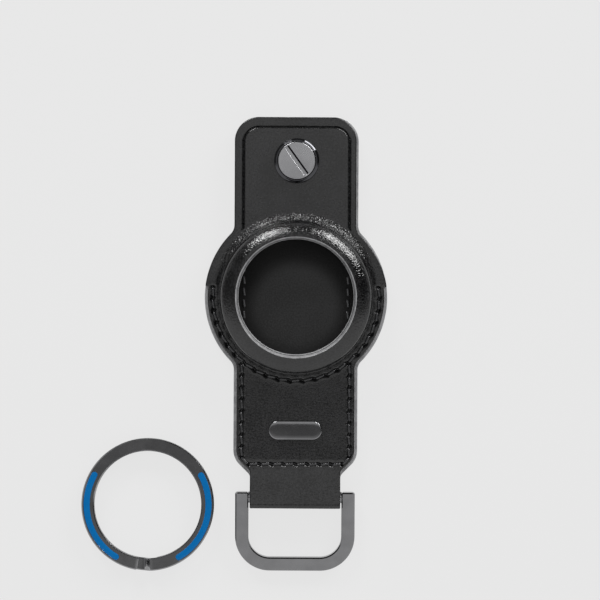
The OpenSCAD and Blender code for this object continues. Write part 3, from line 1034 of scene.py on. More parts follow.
@dataclass(frozen=True)
class Sheet:
    """A flat layer with an outline, a rounded edge and relief on one side."""

    outline: Outline
    low: float
    high: float
    round_low: float
    round_high: float
    edge_waves: float = 0.02
    wave_reach: float = 0.5
    round_steps: int = 4
    trim: float = 0.0
    trim_from: float = 0.0
    trim_ease: float = 12.0
    trim_side: tuple[float, float] = (6.0, 13.0)
    clearance: float = 0.55

    def edge(
        self, maker: Maker, inset_low: float, inset_high: float, painted: int, paint_over: int = 5
    ) -> tuple[Array, Array]:
        """Builds the edge from the lower face's rim round to the upper one's.

        Args:
            maker: Collects the faces.
            inset_low: How far in the lower face's rim lies.
            inset_high: How far in the upper face's rim lies.
            painted: Finish of the painted part.
            paint_over: How many steps of the upper rounding and rim the paint covers.

        Returns:
            Numbers of the lower and of the upper rim's points.
        """
        steps = self.round_steps
        section = [(inset_low, self.low)]
        section += [(away, self.low + up) for up, away in quarter_round(self.round_low, steps)]
        section += [(away, self.high - down) for away, down in quarter_round(self.round_high, steps)]
        section.append((inset_high, self.high))
        rings = [maker.level(self._wavy(inset), z) for inset, z in section]
        top = len(rings) - steps - 2 + paint_over
        maker.strips([rings[0], rings[1]])
        maker.strips(rings[1:top + 1], painted)
        maker.strips(rings[top:])
        return rings[0], rings[-1]

    def _wavy(self, inset: float) -> Array:
        """The outline with the slight waves of a hand-painted edge, which fade inwards."""
        ring = self.outline.ring(inset)
        fade = self.edge_waves * max(0.0, 1 - inset / self.wave_reach)
        x, y = ring.T
        wave = np.sin(0.9 * x + 0.5 * y) * np.cos(0.7 * y - 0.3 * x) + 0.5 * np.sin(2.3 * x - 1.7 * y)
        inwards = -ring / np.linalg.norm(ring, axis=1)[:, None]
        drawn = ring + inwards * (fade * (1 + wave) / 2)[:, None]
        facing = smooth_step(x, *self.trim_side)
        facing = facing * smooth_step(y, self.trim_from, self.trim_from + self.trim_ease)
        return drawn - np.c_[self.trim * facing, np.zeros(len(facing))]

    def grid(
        self, pitch: float, margin: float, holes: Sequence[Array], wanted: Rule | None = None
    ) -> Array:
        """Grid points inside the outline and clear of its rim and of the holes.

        Args:
            pitch: Distance between the points.
            margin: How far in the rim lies.
            holes: Points of each hole's ring.
            wanted: Tells of each point whether it is wanted.

        Returns:
            The points.
        """
        rim = self._wavy(margin)
        points = hex_grid(rim.min(0), rim.max(0), pitch)
        points = points[inside(points, rim[::3])]
        if wanted:
            points = points[wanted(points)]
        for ring in (rim, *holes):
            points = points[distance_to(points, ring) > self.clearance * pitch]
        for ring in holes:
            points = points[~inside(points, ring)]
        return points

    def refined(
        self, coarse: float, fine: float, margin: float, holes: Sequence[Array], near: Rule, band: float
    ) -> Array:
        """A coarse grid with a fine one near the seams and creases.

        Args:
            coarse: Pitch of the coarse grid.
            fine: Pitch of the fine grid.
            margin: How far in the rim lies.
            holes: Points of each hole's ring.
            near: Gives the distance of points from what needs the fine grid.
            band: Reach of the fine grid to each side.

        Returns:
            The points.
        """
        wide = self.grid(coarse, margin, holes, lambda p: near(p) > band + coarse / 2)
        narrow = self.grid(fine, margin, holes, lambda p: near(p) <= band)
        return np.concatenate([wide, narrow])


@dataclass(frozen=True)
class StrapBend:
    """Bends the flat strap over the ring's bar and back between the layers."""

    sizes: HolderSizes
    bar: Array
    bar_r: float = 1.4
    gap: float = 0.4
    leave_y: float = -36.0
    rise_y: float = -42.0
    dip_y: float = -44.2
    rise_r: float = 4.0
    tail_y: float = -23.7
    loop_t: float = 0.85
    fold_r: float = 0.45
    tail_share: float = 0.5
    thin_from: tuple[float, float] = (3.0, 10.0)
    tail_from: tuple[float, float] = (26.0, 19.0)
    pitch: float = 0.1

    @property
    def middle_r(self) -> float:
        """Radius of the strap's middle layer round the bar."""
        return self.bar_r + self.gap + self.loop_t / 2

    def path(self) -> Array:
        """The strap's middle layer, as Y and Z, from the body round the bar to the tail's end."""
        upper = np.array([self.rise_y, self.sizes.front_z + self.sizes.leather_t / 2])
        lower = np.array([self.dip_y, (self.sizes.inner_z + self.sizes.front_z) / 2])
        far_y = self.bar[1] - self.middle_r
        corners = [(self.leave_y, upper[1]), upper]
        for point, side in ((upper, 1), (lower, -1)):
            corners.append((far_y, self._tangent_height(point, far_y, side)))
        corners += [lower, (self.tail_y, lower[1])]
        return rounded_path(corners, [self.rise_r, self.fold_r, self.middle_r, self.rise_r], self.pitch)

    def length(self) -> float:
        """Length of the bent part."""
        return float(distance_along(self.path())[-1])

    def bend(self, points: Array) -> Array:
        """Moves the points of the flat leather to the bent strap."""
        path = self.path()
        run = distance_along(path)
        up = square_to(path)
        s = np.clip(self.leave_y - points[:, 1], 0, run[-1])
        loop_share = self.loop_t / self.sizes.leather_t
        thin = 1 - (1 - loop_share) * smooth_step(s, *self.thin_from)
        tail = [run[-1] - left for left in self.tail_from]
        thin -= (loop_share - self.tail_share) * smooth_step(s, *tail)
        off = (points[:, 2] - self.sizes.front_z - self.sizes.leather_t / 2) * thin
        bent = points.copy()
        for axis in (0, 1):
            bent[:, axis + 1] = np.interp(s, run, path[:, axis]) + off * np.interp(s, run, up[:, axis])
        return np.where((points[:, 1] < self.leave_y)[:, None], bent, points)

    def _tangent_height(self, start: Array, far_y: float, side: int) -> float:
        """Height at which the tangent from a point to the loop reaches the loop's far side."""
        run = start - self.bar[1:]
        angle = math.atan2(run[1], run[0]) + side * math.acos(self.middle_r / np.linalg.norm(run))
        touch = self.bar[1:] + self.middle_r * np.array([math.cos(angle), math.sin(angle)])
        slope = (touch[1] - start[1]) / (touch[0] - start[0])
        return start[1] + slope * (far_y - start[0])


@dataclass(frozen=True)
class DomeShape:
    """Section of the raised ring, as radius and height, from its foot to the window's lip."""

    sizes: HolderSizes
    foot_tight: float = 0.3
    foot_sink: float = 0.3
    sink_w: float = 1.7
    foot_wide: float = 2.7
    widening: tuple[float, float] = (0.3, 0.75)
    wall_slope: float = math.radians(88)
    shoulder_round: float = 1.3
    shoulder_r: float = 17.95
    shoulder_slope: float = math.radians(44)
    slope: float = math.radians(17)
    lip_r: float = 14.75
    top_z: float = 10.68
    lining_t: float = 0.6
    pocket_r: float = 16.1
    shell_r: float = 16.72
    count: int = 320
    skew: float = 0.2
    foot_steps: int = 13
    shoulder_steps: int = 11
    crown_steps: int = 17
    inner_round: float = 1.2
    inner_pitch: float = 0.6

    @property
    def crown_r(self) -> float:
        """Radius of the face's slow curve from the lip to the shoulder."""
        return (self.shoulder_r - self.lip_r) / (math.sin(self.shoulder_slope) - math.sin(self.slope))

    @property
    def shoulder_z(self) -> float:
        """Height at which the tighter curve of the shoulder starts."""
        return self.top_z - self.crown_r * (math.cos(self.slope) - math.cos(self.shoulder_slope))

    @property
    def wall_r(self) -> float:
        """Radius of the upright wall."""
        turned = math.sin(self.wall_slope) - math.sin(self.shoulder_slope)
        return self.shoulder_r + self.shoulder_round * turned

    def foot(self) -> list[Array]:
        """Rings of the foot, from the level leather up to the wall.

        The foot is tight and sunk towards the strap and wide towards the tab.
        """
        plain = circle((0, 0), 1.0, self.count)
        wider = smooth_step(plain[:, 1], *self.widening)
        r = self.foot_tight + (self.foot_wide - self.foot_tight) * wider
        made = []
        for turn in np.linspace(0, self.wall_slope, self.foot_steps + 1):
            out = self.wall_r + r * (1 - math.sin(turn))
            sunk = self.foot_sink * (1 - wider) * (1 - turn / self.wall_slope)
            z = self.sizes.front_top + r * (1 - math.cos(turn)) - sunk
            made.append(with_height(plain * out[:, None], z))
        return made

    def sink(self, points: Array) -> Array:
        """How far the leather outside the foot is drawn down at each point."""
        r = np.hypot(*points.T)
        share = 1 - smooth_step(points[:, 1] / r, *self.widening)
        start = self.wall_r + self.foot_tight
        return self.foot_sink * share * (1 - smooth_step(r, start, start + self.sink_w))

    def outer(self) -> Array:
        """The leather's outer face, from the top of the wall to the start of the lip."""
        shoulder = self._curve(
            (self.shoulder_r, self.shoulder_z), self.shoulder_round,
            (self.wall_slope, self.shoulder_slope), self.shoulder_steps,
        )
        face = self._curve(
            (self.lip_r, self.top_z), self.crown_r, (self.shoulder_slope, self.slope), self.crown_steps
        )
        return np.concatenate([shoulder, face[1:]])

    @staticmethod
    def _curve(end: Sequence[float], r: float, slopes: Sequence[float], steps: int) -> Array:
        """An arc of the section between two slopes, by the point where it ends."""
        turn = np.linspace(*slopes, steps + 1)
        return np.array(end) + r * np.c_[
            np.sin(turn) - math.sin(slopes[1]), np.cos(turn) - math.cos(slopes[1])
        ]

    def behind(self, depth: float) -> tuple[float, float]:
        """Place of the lip's cut edge at a depth below the outer face."""
        return self.lip_r - depth * math.sin(self.slope), self.top_z - depth * math.cos(self.slope)

    def inner(self, depth: float, wall: float, floor: float) -> Array:
        """A face inside the ring, from the lip down to a floor.

        Args:
            depth: Depth below the outer face at the lip.
            wall: Radius of the upright part.
            floor: Height at which it ends.

        Returns:
            The section's points.
        """
        r, z = self.behind(depth)
        turn_z = z - (wall - r) * math.tan(self.slope)
        return rounded_path([(r, z), (wall, turn_z), (wall, floor)], [self.inner_round], self.inner_pitch)

    def ring(self, r: float, z: float, lip_share: float = 0.0) -> Array:
        """One ring, drawn off centre at the lip, where the hide was trimmed by hand."""
        points = circle((0, 0), r, self.count)
        shift = self.skew * lip_share * np.array([0.0, 1.0])
        return with_height(points + shift, z)


@dataclass
class FrontCover:
    """The front hide with the tab, the raised ring and the strap, its lining and its seam."""

    sizes: HolderSizes
    dome: DomeShape
    seams: SeamPlan
    bend: StrapBend
    leather: Material
    lining: Material
    painted: Material
    thread: Material
    rim_inset: float = 0.5
    under_inset: float = 0.4
    edge_rounds: tuple[float, float] = (0.2, 0.36)
    lining_rounds: tuple[float, float] = (0.15, 0.1)
    layer_gap: float = 0.02
    coarse: float = 0.34
    fine: float = 0.1
    fine_reach: float = 0.62
    strap_pitch: float = 0.8
    lining_pitch: float = 1.2
    pocket_pitch: float = 0.7
    flap_count: int = 64
    hole_count: int = 96
    crease_depth: float = 0.5
    crease_w: float = 0.98
    crease_inset: float = 2.2
    crease_drop: float = 0.2
    crease_pitch: float = 0.08
    bulge: float = 0.03
    bulge_away: float = 0.75
    bulge_w: float = 0.6
    wave_depth: float = 0.02
    wave_ease: float = 1.5
    rim_drop: float = 0.05
    rim_span: tuple[float, float] = (-1.4, -0.4)
    furrow_depth: float = 0.2
    lip_round: float = 0.2
    lip_steps: int = 5
    lip_step: float = 0.12
    centred_after: int = 3
    trim: float = 0.5
    tail_room: float = 0.5
    tail_cover: float = 0.06

    def build(self) -> list[Piece]:
        """Builds the pieces that ride on the holder's body."""
        return [self.hide(), self.pocket_lining(), self.stitches()]

    def hide(self) -> Piece:
        """The front leather."""
        s, d = self.sizes, self.dome
        maker = Maker()
        sheet = self._sheet(self._outline(), s.front_z, s.front_top, self.edge_rounds)
        low_rim, high_rim = sheet.edge(maker, self.under_inset, self.rim_inset, 1, 1)
        flap = circle((0.0, s.screw_y), s.flap_hole_r, self.flap_count)
        foot_rings = d.foot()
        inner = sheet.refined(
            self.coarse, self.fine, self.rim_inset, [foot_rings[0], flap], self._near, self.fine_reach
        )
        foot = maker.add(foot_rings[0])
        top_hole = maker.level(flap, s.front_top)
        maker.fill(high_rim, [foot, top_hole], inner, s.front_top - self._relief(inner), Side.FRONT)

        low_hole = maker.level(flap, s.front_z)
        maker.strips([top_hole, low_hole], 1)
        raised = foot_rings[1:] + [d.ring(r, z) for r, z in d.outer()]
        rings = [foot] + [maker.add(self._worked(ring)) for ring in raised]
        maker.strips(rings)
        lip = self._lip(maker, rings[-1], 0.0, s.leather_t, 0)
        wall = self._inner_face(maker, s.leather_t, d.shell_r, s.front_z)
        maker.strips([lip, *wall])
        under = sheet.grid(self.strap_pitch, self.under_inset, [], lambda p: p[:, 1] < self.bend.leave_y)
        maker.fill(low_rim, [wall[-1], low_hole], under, s.front_z, Side.BACK)
        maker.shape(self.bend.bend)
        piece = maker.build("front_cover", [self.leather, self.painted])
        return settle(piece, Body.HOLDER, Slot.LEATHER, "front_leather")

    def pocket_lining(self) -> Piece:
        """The lining behind the front leather, which forms the pocket."""
        s, d, inset = self.sizes, self.dome, self.under_inset
        top_z = s.front_z - self.layer_gap
        depth = s.leather_t + self.layer_gap
        maker = Maker()
        sheet = self._sheet(
            Outline(s, 0.0, s.edge_step, s.strap_start), s.inner_z, top_z, self.lining_rounds
        )
        low_rim, high_rim = sheet.edge(maker, inset, inset, 1)
        flap = circle((0.0, s.screw_y), s.flap_hole_r, self.flap_count)
        high_hole = maker.level(flap, top_z)
        low_hole = maker.level(flap, s.inner_z)
        shell = self._inner_face(maker, depth, d.shell_r - self.layer_gap, top_z)[::-1]
        maker.strips(shell)
        lip = self._lip(maker, shell[-1], depth, d.lining_t, 3)
        wall = self._inner_face(maker, depth + d.lining_t, d.pocket_r, s.inner_z)
        maker.strips([lip, *wall])
        top = sheet.grid(self.lining_pitch, inset, [circle((0, 0), d.shell_r, self.hole_count), flap])
        maker.fill(high_rim, [shell[0], high_hole], top, top_z, Side.FRONT)
        maker.strips([high_hole, low_hole], 1)
        under = sheet.grid(self.pocket_pitch, inset, [circle((0, 0), d.pocket_r, self.hole_count), flap])
        level = s.inner_z + np.abs(self.wave_depth * ripples(under, 0.5, 0.4))
        maker.fill(low_rim, [wall[-1], low_hole], under, level, Side.BACK)
        maker.shape(self._clear_of_tail)
        piece = maker.build("pocket_lining", [self.lining, self.painted])
        return settle(piece, Body.HOLDER, Slot.LINING, "front_lining")

    def stitches(self) -> Piece:
        """The needle thread on the front."""
        maker = Maker()
        bed = self.sizes.front_top - self.furrow_depth
        Threads(self.sizes).sew(maker, self.seams.sewn(), bed, Side.FRONT)
        piece = maker.build("front_seam_stitches", [self.thread], Threads.sharp)
        return settle(piece, Body.HOLDER, Slot.THREAD, "front_needle_thread")

    def _outline(self) -> Outline:
        """Outline of the front leather with the strap laid out flat."""
        flat_end = -self.bend.leave_y + self.bend.length()
        return Outline(self.sizes, 0.0, self.sizes.edge_step, flat_end)

    def _sheet(self, outline: Outline, low: float, high: float, rounds: Sequence[float]) -> Sheet:
        """A layer whose right side is trimmed above the fold."""
        return Sheet(outline, low, high, *rounds, trim=self.trim, trim_from=self.sizes.fold_y)

    def _inner_face(self, maker: Maker, depth: float, wall: float, floor: float) -> list[Array]:
        """Adds a face inside the raised ring, off centre at the lip and on the axis below it.

        Args:
            maker: Collects the points.
            depth: Depth below the outer face at the lip.
            wall: Radius of the upright part.
            floor: Height at which it ends.

        Returns:
            The rings' point numbers, from the lip down.
        """
        shares = 1 - np.arange(self.centred_after) / self.centred_after
        section = self.dome.inner(depth, wall, floor)
        shares = np.append(shares, np.zeros(len(section)))
        return [maker.add(self.dome.ring(r, z, share)) for (r, z), share in zip(section, shares)]

    def _crease(self, points: Array) -> Array:
        """Distance of each point from the pressed crease of the tab."""
        outline = replace(self._outline(), pitch=self.crease_pitch)
        line = outline.ring(self.crease_inset) - np.array([0.0, self.crease_drop])
        on_tab = (line[:, 1] > self.sizes.fold_y) & (np.hypot(*line.T) > self.sizes.seam_r + 0.1)
        return distance_to(points, line[on_tab])

    def _near(self, points: Array) -> Array:
        """Distance of each point from the nearest seam or crease."""
        return np.minimum(self.seams.sewn_distance(points), self._crease(points))

    def _relief(self, points: Array) -> Array:
        """How far the front's face lies below the level at each point."""
        x, y = points.T
        crease = self._crease(points)
        pressed = self.crease_depth * notch(crease, self.crease_w)
        pressed = pressed - self.bulge * bell(crease - self.bulge_away, self.bulge_w)
        seam = self.seams.relief(
            points, self.seams.sewn_distance(points), self.seams.sewn(), self.furrow_depth
        )
        foot_r = self.dome.wall_r + self.dome.foot_wide
        fade = smooth_step(np.hypot(x, y), foot_r, foot_r + self.wave_ease)
        waves = ripples(points, 0.21, 0.17, 0.4) + 0.6 * np.sin(0.33 * y + 0.2 * x)
        to_edge = distance_to(points, self._outline().ring(0.0))
        rim = self.rim_drop * smooth_step(-to_edge, *self.rim_span)
        return pressed + seam + self.dome.sink(points) + fade * (self.wave_depth * waves) + rim

    def _worked(self, ring: Array) -> Array:
        """Slight unevenness of the moulded ring."""
        x, y, z = ring.T
        r = np.hypot(x, y)
        share = smooth_step(z - self.sizes.front_top, 0.1, 2.0)
        share = share * smooth_step(r - self.dome.lip_r, 0.1, 1.0)
        angle = np.arctan2(y, x)
        wave = 0.035 * np.sin(3 * angle + 0.6) + 0.02 * np.sin(7 * angle + r) + 0.012 * np.sin(13 * angle)
        grown = 1 + share * wave / r
        return np.c_[x * grown, y * grown, z]

    def _lip(
        self, maker: Maker, start: Array, depth: float, thickness: float, paint_from: int
    ) -> Array:
        """Adds the painted cut edge of one layer at the window.

        Args:
            maker: Collects the faces.
            start: Ring where the layer's outer face ends.
            depth: Depth of that face below the leather's own outer face.
            thickness: Thickness of the layer.
            paint_from: How many steps of the outer rounding stay bare; a bare one stands further out.

        Returns:
            The ring where the layer's inner face starts.
        """
        proud = self.lip_step if paint_from else 0.0
        rounding = quarter_round(self.lip_round, self.lip_steps)
        section = [(depth + a, proud + self.lip_round - b) for a, b in rounding]
        section += [(depth + thickness - b, proud + self.lip_round - a) for a, b in rounding[:-1]]
        rings = [start] + [self._lip_ring(maker, below, out) for below, out in section]
        maker.strips(rings[:paint_from + 1])
        maker.strips(rings[paint_from:-3], 1)
        maker.strips(rings[-4:])
        return rings[-1]

    def _lip_ring(self, maker: Maker, depth: float, proud: float) -> Array:
        """One ring of a layer's cut edge, at a depth and standing proud into the window."""
        d = self.dome
        r, z = d.behind(depth)
        r -= proud * math.cos(d.slope)
        z += proud * math.sin(d.slope)
        return maker.add(d.ring(r, z, depth / (self.sizes.leather_t + d.lining_t)))

    def _clear_of_tail(self, points: Array) -> Array:
        """Thins the lining to nothing where the strap's tail lies between the layers."""
        s = self.sizes
        moved = points.copy()
        x, y, z = points.T
        over_tail = (np.abs(x) < s.strap_w / 2) & (y < self.bend.tail_y + self.tail_room)
        moved[over_tail & (z < s.front_z - 0.1), 2] = s.front_z - self.tail_cover
        return moved


@dataclass
class BackCover:
    """The back hide, its lining and the cover's own seam, each in one piece over the fold."""

    sizes: HolderSizes
    seams: SeamPlan
    leather: Material
    lining: Material
    painted: Material
    thread: Material
    inner_thread: Material
    rim_inset: float = 0.5
    upper_inset: float = 0.3
    fold_half: float = 1.6
    furrow_depth: float = 0.36
    inner_furrow: float = 0.24
    deepest: float = 0.5
    seam_sink: float = 0.12
    bobbin_rise: float = 0.05
    wave_depth: float = 0.008
    inner_waves: float = 0.03
    flat_span: tuple[float, float] = (-15.5, -12.0)
    flange_r: float = 4.58
    flange_t: float = 0.8
    coarse: float = 0.5
    inner_coarse: float = 0.45
    fine: float = 0.16
    fine_reach: float = 0.75
    plain_pitch: float = 1.0
    hole_count: int = 96
    sharp: float = 50.0

    def build(self) -> list[Piece]:
        """Builds the pieces that run over the fold and the bobbin thread."""
        return [self.hide(), self.inside_lining(), self.cover_seam(), self.bobbin_stitches()]

    def hide(self) -> Piece:
        """The back leather, lower part and leaf."""
        s, flange_r = self.sizes, self.flange_r
        maker = Maker()
        sheet = Sheet(self._outline(), 0.0, s.lining_z, 0.42, 0.02)
        low_rim, high_rim = sheet.edge(maker, self.rim_inset, self.upper_inset, 1, 4)
        post = (0.0, s.screw_y)
        section = [
            (flange_r + 0.2, 0.0), (flange_r + 0.06, 0.05), (flange_r, 0.2), (flange_r, self.flange_t),
            (s.post_hole_r, self.flange_t), (s.post_hole_r, s.lining_z),
        ]
        hole = lathe(maker, section, post, self.hole_count)
        maker.strips(hole[::-1])
        recess = circle(post, section[0][0], self.hole_count)
        inner = sheet.refined(
            self.coarse, self.fine, self.rim_inset, [recess], self._distance, self.fine_reach
        )
        relief = self.seams.relief(
            inner, self._distance(inner), self.seams.sewn() + self.seams.cover(), self.furrow_depth
        )
        waves = self.wave_depth * (1 + ripples(inner, 0.3, 0.23))
        maker.fill(low_rim, [hole[0]], inner, relief + waves, Side.BACK)
        through = circle(post, s.post_hole_r, self.hole_count)
        upper = sheet.grid(self.plain_pitch, self.upper_inset, [through])
        maker.fill(high_rim, [hole[-1]], upper, s.lining_z, Side.FRONT)
        piece = maker.build("back_cover", [self.leather, self.painted], self.sharp)
        return self._folding(piece, Slot.LEATHER, "back_leather", "leaf_leather")

    def inside_lining(self) -> Piece:
        """The lining of the back cover, which is seen through the window."""
        s = self.sizes
        rim = s.edge_step + self.upper_inset
        maker = Maker()
        sheet = Sheet(self._outline(), s.lining_z, s.inner_z, 0.02, 0.2)
        low_rim, high_rim = sheet.edge(maker, self.upper_inset, rim, 1)
        post = circle((0.0, s.screw_y), s.post_hole_r, self.hole_count)
        holes = [maker.level(post, z) for z in (s.inner_z, s.lining_z)]
        maker.strips(holes)
        distance = self.seams.cover_distance
        inner = sheet.refined(self.inner_coarse, self.fine, rim, [post], distance, self.fine_reach)
        relief = self.seams.relief(inner, distance(inner), self.seams.cover(), self.inner_furrow)
        waves = self.inner_waves * (1 + ripples(inner, 0.4, 0.31, 0.5))
        inside_pocket = smooth_step(-np.hypot(*inner.T), *self.flat_span)
        level = s.inner_z - np.minimum(relief, self.deepest) - waves * inside_pocket
        maker.fill(high_rim, [holes[0]], inner, level, Side.FRONT)
        under = sheet.grid(self.plain_pitch, self.upper_inset, [post])
        maker.fill(low_rim, [holes[1]], under, s.lining_z, Side.BACK)
        piece = maker.build("back_lining_sheet", [self.lining, self.painted], self.sharp)
        return self._folding(piece, Slot.LINING, "back_lining", "leaf_lining")

    def cover_seam(self) -> Piece:
        """Both threads of the back cover's own seam."""
        s = self.sizes
        maker = Maker()
        threads = Threads(s)
        # The lining's side of this seam takes the lighter thread, whose colour is painted sheen.
        threads.sew(maker, self.seams.cover(), s.inner_z - self.seam_sink, Side.FRONT, 1)
        threads.sew(maker, self.seams.cover(), s.thread_t + self.bobbin_rise, Side.BACK)
        piece = maker.build("cover_seam_stitches", [self.thread, self.inner_thread], self.sharp)
        return self._folding(piece, Slot.THREAD, "lining_seam_thread", "leaf_seam_thread")

    def bobbin_stitches(self) -> Piece:
        """The bobbin thread of the seam through all layers."""
        s = self.sizes
        maker = Maker()
        Threads(s).sew(maker, self.seams.sewn(), s.thread_t + self.bobbin_rise, Side.BACK)
        piece = maker.build("back_seam_stitches", [self.thread], Threads.sharp)
        return settle(piece, Body.HOLDER, Slot.THREAD, "back_bobbin_thread")

    def _outline(self) -> Outline:
        """Outline of the back layers."""
        return Outline(self.sizes, 0.0, 0.0, self.sizes.strap_start)

    def _distance(self, points: Array) -> Array:
        """Distance from the nearest seam on the back."""
        return np.minimum(self.seams.sewn_distance(points), self.seams.cover_distance(points))

    def _folding(self, piece: Piece, slot: Slot, *nodes: str) -> Piece:
        """Bakes a finished piece's placement into its mesh and hides the CAD nodes that it stands for.

        Args:
            piece: The piece.
            slot: Not used.
            nodes: CAD nodes that it stands for.

        Returns:
            The same piece.
        """
        low, high = self.sizes.fold_y - self.fold_half, self.sizes.fold_y + self.fold_half
        low * MM
        high * MM
        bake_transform(piece)
        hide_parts(*nodes)
        return piece


@dataclass
class Badge:
    """A plain bar on the lower body."""

    sizes: HolderSizes
    metal: Material
    steel: Material
    bevel: float = 0.28
    steps: int = 6
    end_steps: int = 32
    sink: float = 0.04
    crown: float = 0.02

    def build(self) -> list[Piece]:
        """Builds the bar and dresses its clip."""
        low, high = box_mm("badge")
        top = high[2]
        middle = (low + high) / 2
        half_l, half_w = (high - low)[:2] / 2
        maker = Maker()
        profile = [(0.0, self.sizes.front_top - self.sink), (0.0, top - self.bevel)]
        profile += [(away, top - down) for away, down in quarter_round(self.bevel, self.steps)[1:]]
        profile += [(half_w * 0.5, top + self.crown * 0.75), (half_w - 0.02, top + self.crown)]
        run = half_l - half_w
        maker.tube([maker.add(self._ring(middle, run, half_w - inset, z)) for inset, z in profile])
        piece = maker.build("plain_badge", [self.metal], 35)
        clip = frame["nodes"]["badge_clip"].data.materials
        clip.clear()
        clip.append(self.steel)
        return [settle(piece, Body.HOLDER, Slot.GUNMETAL, "badge")]

    def _ring(self, middle: Array, run: float, r: float, z: float) -> Array:
        """A stadium, by half its straight run and the radius of its ends."""
        ends = [
            arc((middle[0] + side * run, middle[1]), r, start, start + 180, self.end_steps + 1)
            for side, start in ((1, -90), (-1, 90))
        ]
        return with_height(np.concatenate(ends), z)


@dataclass
class Closure:
    """The slotted screw, its cup washer and the threaded post."""

    sizes: HolderSizes
    satin: Material
    chrome: Material
    metal: Material
    centre: Array = field(default_factory=lambda: joint_point("screw_turn")[:2])
    washer_r: float = 5.5
    crest_r: float = 4.93
    crest_h: float = 1.5
    bevel_low: float = 0.92
    bevel_high: float = 1.26
    cup_r: float = 4.6
    cup_floor: float = 0.7
    hole_r: float = 1.31
    head_r: float = 4.55
    head_round: float = 0.2
    head_steps: int = 6
    head_crown: float = 0.02
    head_pitch: float = 0.35
    shank_r: float = 1.23
    slot_w: float = 1.2
    slot_l: float = 8.3
    slot_depth: float = 0.55
    slot_draft: float = 0.42
    slot_chamfer: float = 0.06
    slot_corner: float = 0.12
    slot_margin: float = 0.3
    slot_angle: float = -54.0
    count: int = 160

    def build(self) -> list[Piece]:
        """Builds the three pieces."""
        return [self.washer(), self.screw(), self.post()]

    def washer(self) -> Piece:
        """The dark polished cup washer."""
        corners = [
            (self.washer_r - 0.05, 0.02), (self.washer_r, 0.08), (self.washer_r - 0.02, self.bevel_low),
            (self.crest_r + 0.08, self.bevel_high), (self.crest_r - 0.14, self.crest_h),
            (self.cup_r + 0.03, self.crest_h - 0.16), (self.cup_r, self.cup_floor + 0.1),
            (self.hole_r, self.cup_floor), (self.hole_r, 0.02),
        ]
        profile = rounded_path(corners, [0.03, 0.25, 0.3, 0.12, 0.1, 0.08, 0.02], 0.12)
        profile[:, 1] += self.sizes.front_top
        maker = Maker()
        rings = lathe(maker, profile, self.centre, self.count)
        maker.strips([*rings, rings[0]])
        piece = maker.build("cup_washer", [self.chrome], 60)
        return settle(piece, Body.ROSETTE, Slot.CHROME, "screw_rosette")

    def screw(self) -> Piece:
        """The slotted screw."""
        low, high = box_mm("closure_screw")
        top = high[2]
        seat = self.sizes.front_top + self.cup_floor + 0.01
        maker = Maker()
        side = [
            (self.shank_r - 0.2, low[2] + 0.02), (self.shank_r, low[2] + 0.25), (self.shank_r, seat),
            (self.head_r - 0.15, seat), (self.head_r, seat + 0.15), (self.head_r, top - self.head_round),
        ]
        rounding = quarter_round(self.head_round, self.head_steps)[1:]
        side += [(self.head_r - away, top - down) for away, down in rounding]
        rings = lathe(maker, side, self.centre, self.count)
        maker.strips(rings)
        maker.cap(rings[0], flip=True)
        edge, below, bottom = (maker.add(self._slot_ring(*cut)) for cut in (
            (self.slot_chamfer, 0.0, top),
            (0.0, 0.0, top - self.slot_chamfer * 0.8),
            (0.0, self.slot_draft, top - self.slot_depth),
        ))
        grid = hex_grid(self.centre - self.head_r, self.centre + self.head_r, self.head_pitch)
        level_r = self.head_r - self.head_round - 0.2
        grid = grid[np.hypot(*(grid - self.centre).T) < level_r]
        grid = grid[~inside(grid, self._slot_ring(self.slot_margin, 0.0, top))]
        crown = self.head_crown * (1 - (np.hypot(*(grid - self.centre).T) / self.head_r) ** 2)
        maker.fill(rings[-1], [edge], grid, top + crown, Side.FRONT)
        maker.strips([edge, below])
        # The slot's walls take the dark polished plating: painted shade that darkens the slot.
        maker.strips([below, bottom], 1)
        maker.cap(bottom)
        piece = maker.build("slotted_screw", [self.satin, self.chrome], 30)
        return settle(piece, Body.SCREW, Slot.SATIN, "closure_screw")

    def post(self) -> Piece:
        """The threaded post with its flange on the back."""
        low, high = box_mm("closure_post")
        flange_r = (high - low)[0] / 2
        top = high[2] - 0.02
        corners = [
            (0.02, 0.03), (flange_r - 0.05, 0.03), (flange_r, 0.25), (flange_r, 0.79), (2.3, 0.79),
            (2.3, top), (1.52, top), (1.5, 0.62), (0.02, 0.6),
        ]
        profile = rounded_path(corners, [0.12, 0.1, 0.04, 0.04, 0.1, 0.06, 0.05], 0.25)
        maker = Maker()
        maker.tube(lathe(maker, profile, self.centre, self.count))
        piece = maker.build("threaded_post", [self.metal], 50)
        return settle(piece, Body.LEAF, Slot.GUNMETAL, "closure_post")

    def _slot_ring(self, wider: float, draft: float, z: float) -> Array:
        """Outline of the slot, widened all round and drawn in from its upper right by a draft."""
        half_l = self.slot_l / 2 + wider
        low, high = -self.slot_w / 2 - wider, self.slot_w / 2 + wider - draft
        r = self.slot_corner + wider
        x, y_low, y_high = half_l - r, low + r, high - r
        corners = [(x, y_low, -90), (x, y_high, 0), (-x, y_high, 90), (-x, y_low, 180)]
        flat = np.concatenate([arc(corner, r, corner[2], corner[2] + 90, 5) for corner in corners])
        a = math.radians(self.slot_angle)
        turn = np.array([[math.cos(a), math.sin(a)], [-math.sin(a), math.cos(a)]])
        return with_height(self.centre + flat @ turn, z)


def bevelled_section(w: float, t: float, bevel: float, drop: float) -> Array:
    """A rectangle with bevelled corners, counter-clockwise, about its own middle."""
    x, y = w / 2, t / 2
    right = [(x, drop - y), (x, y - drop), (x - bevel, y)]
    left = [(-a, b) for a, b in right[::-1]]
    return np.array([*right[1:], *left, (bevel - x, -y), (x - bevel, -y), right[0]])


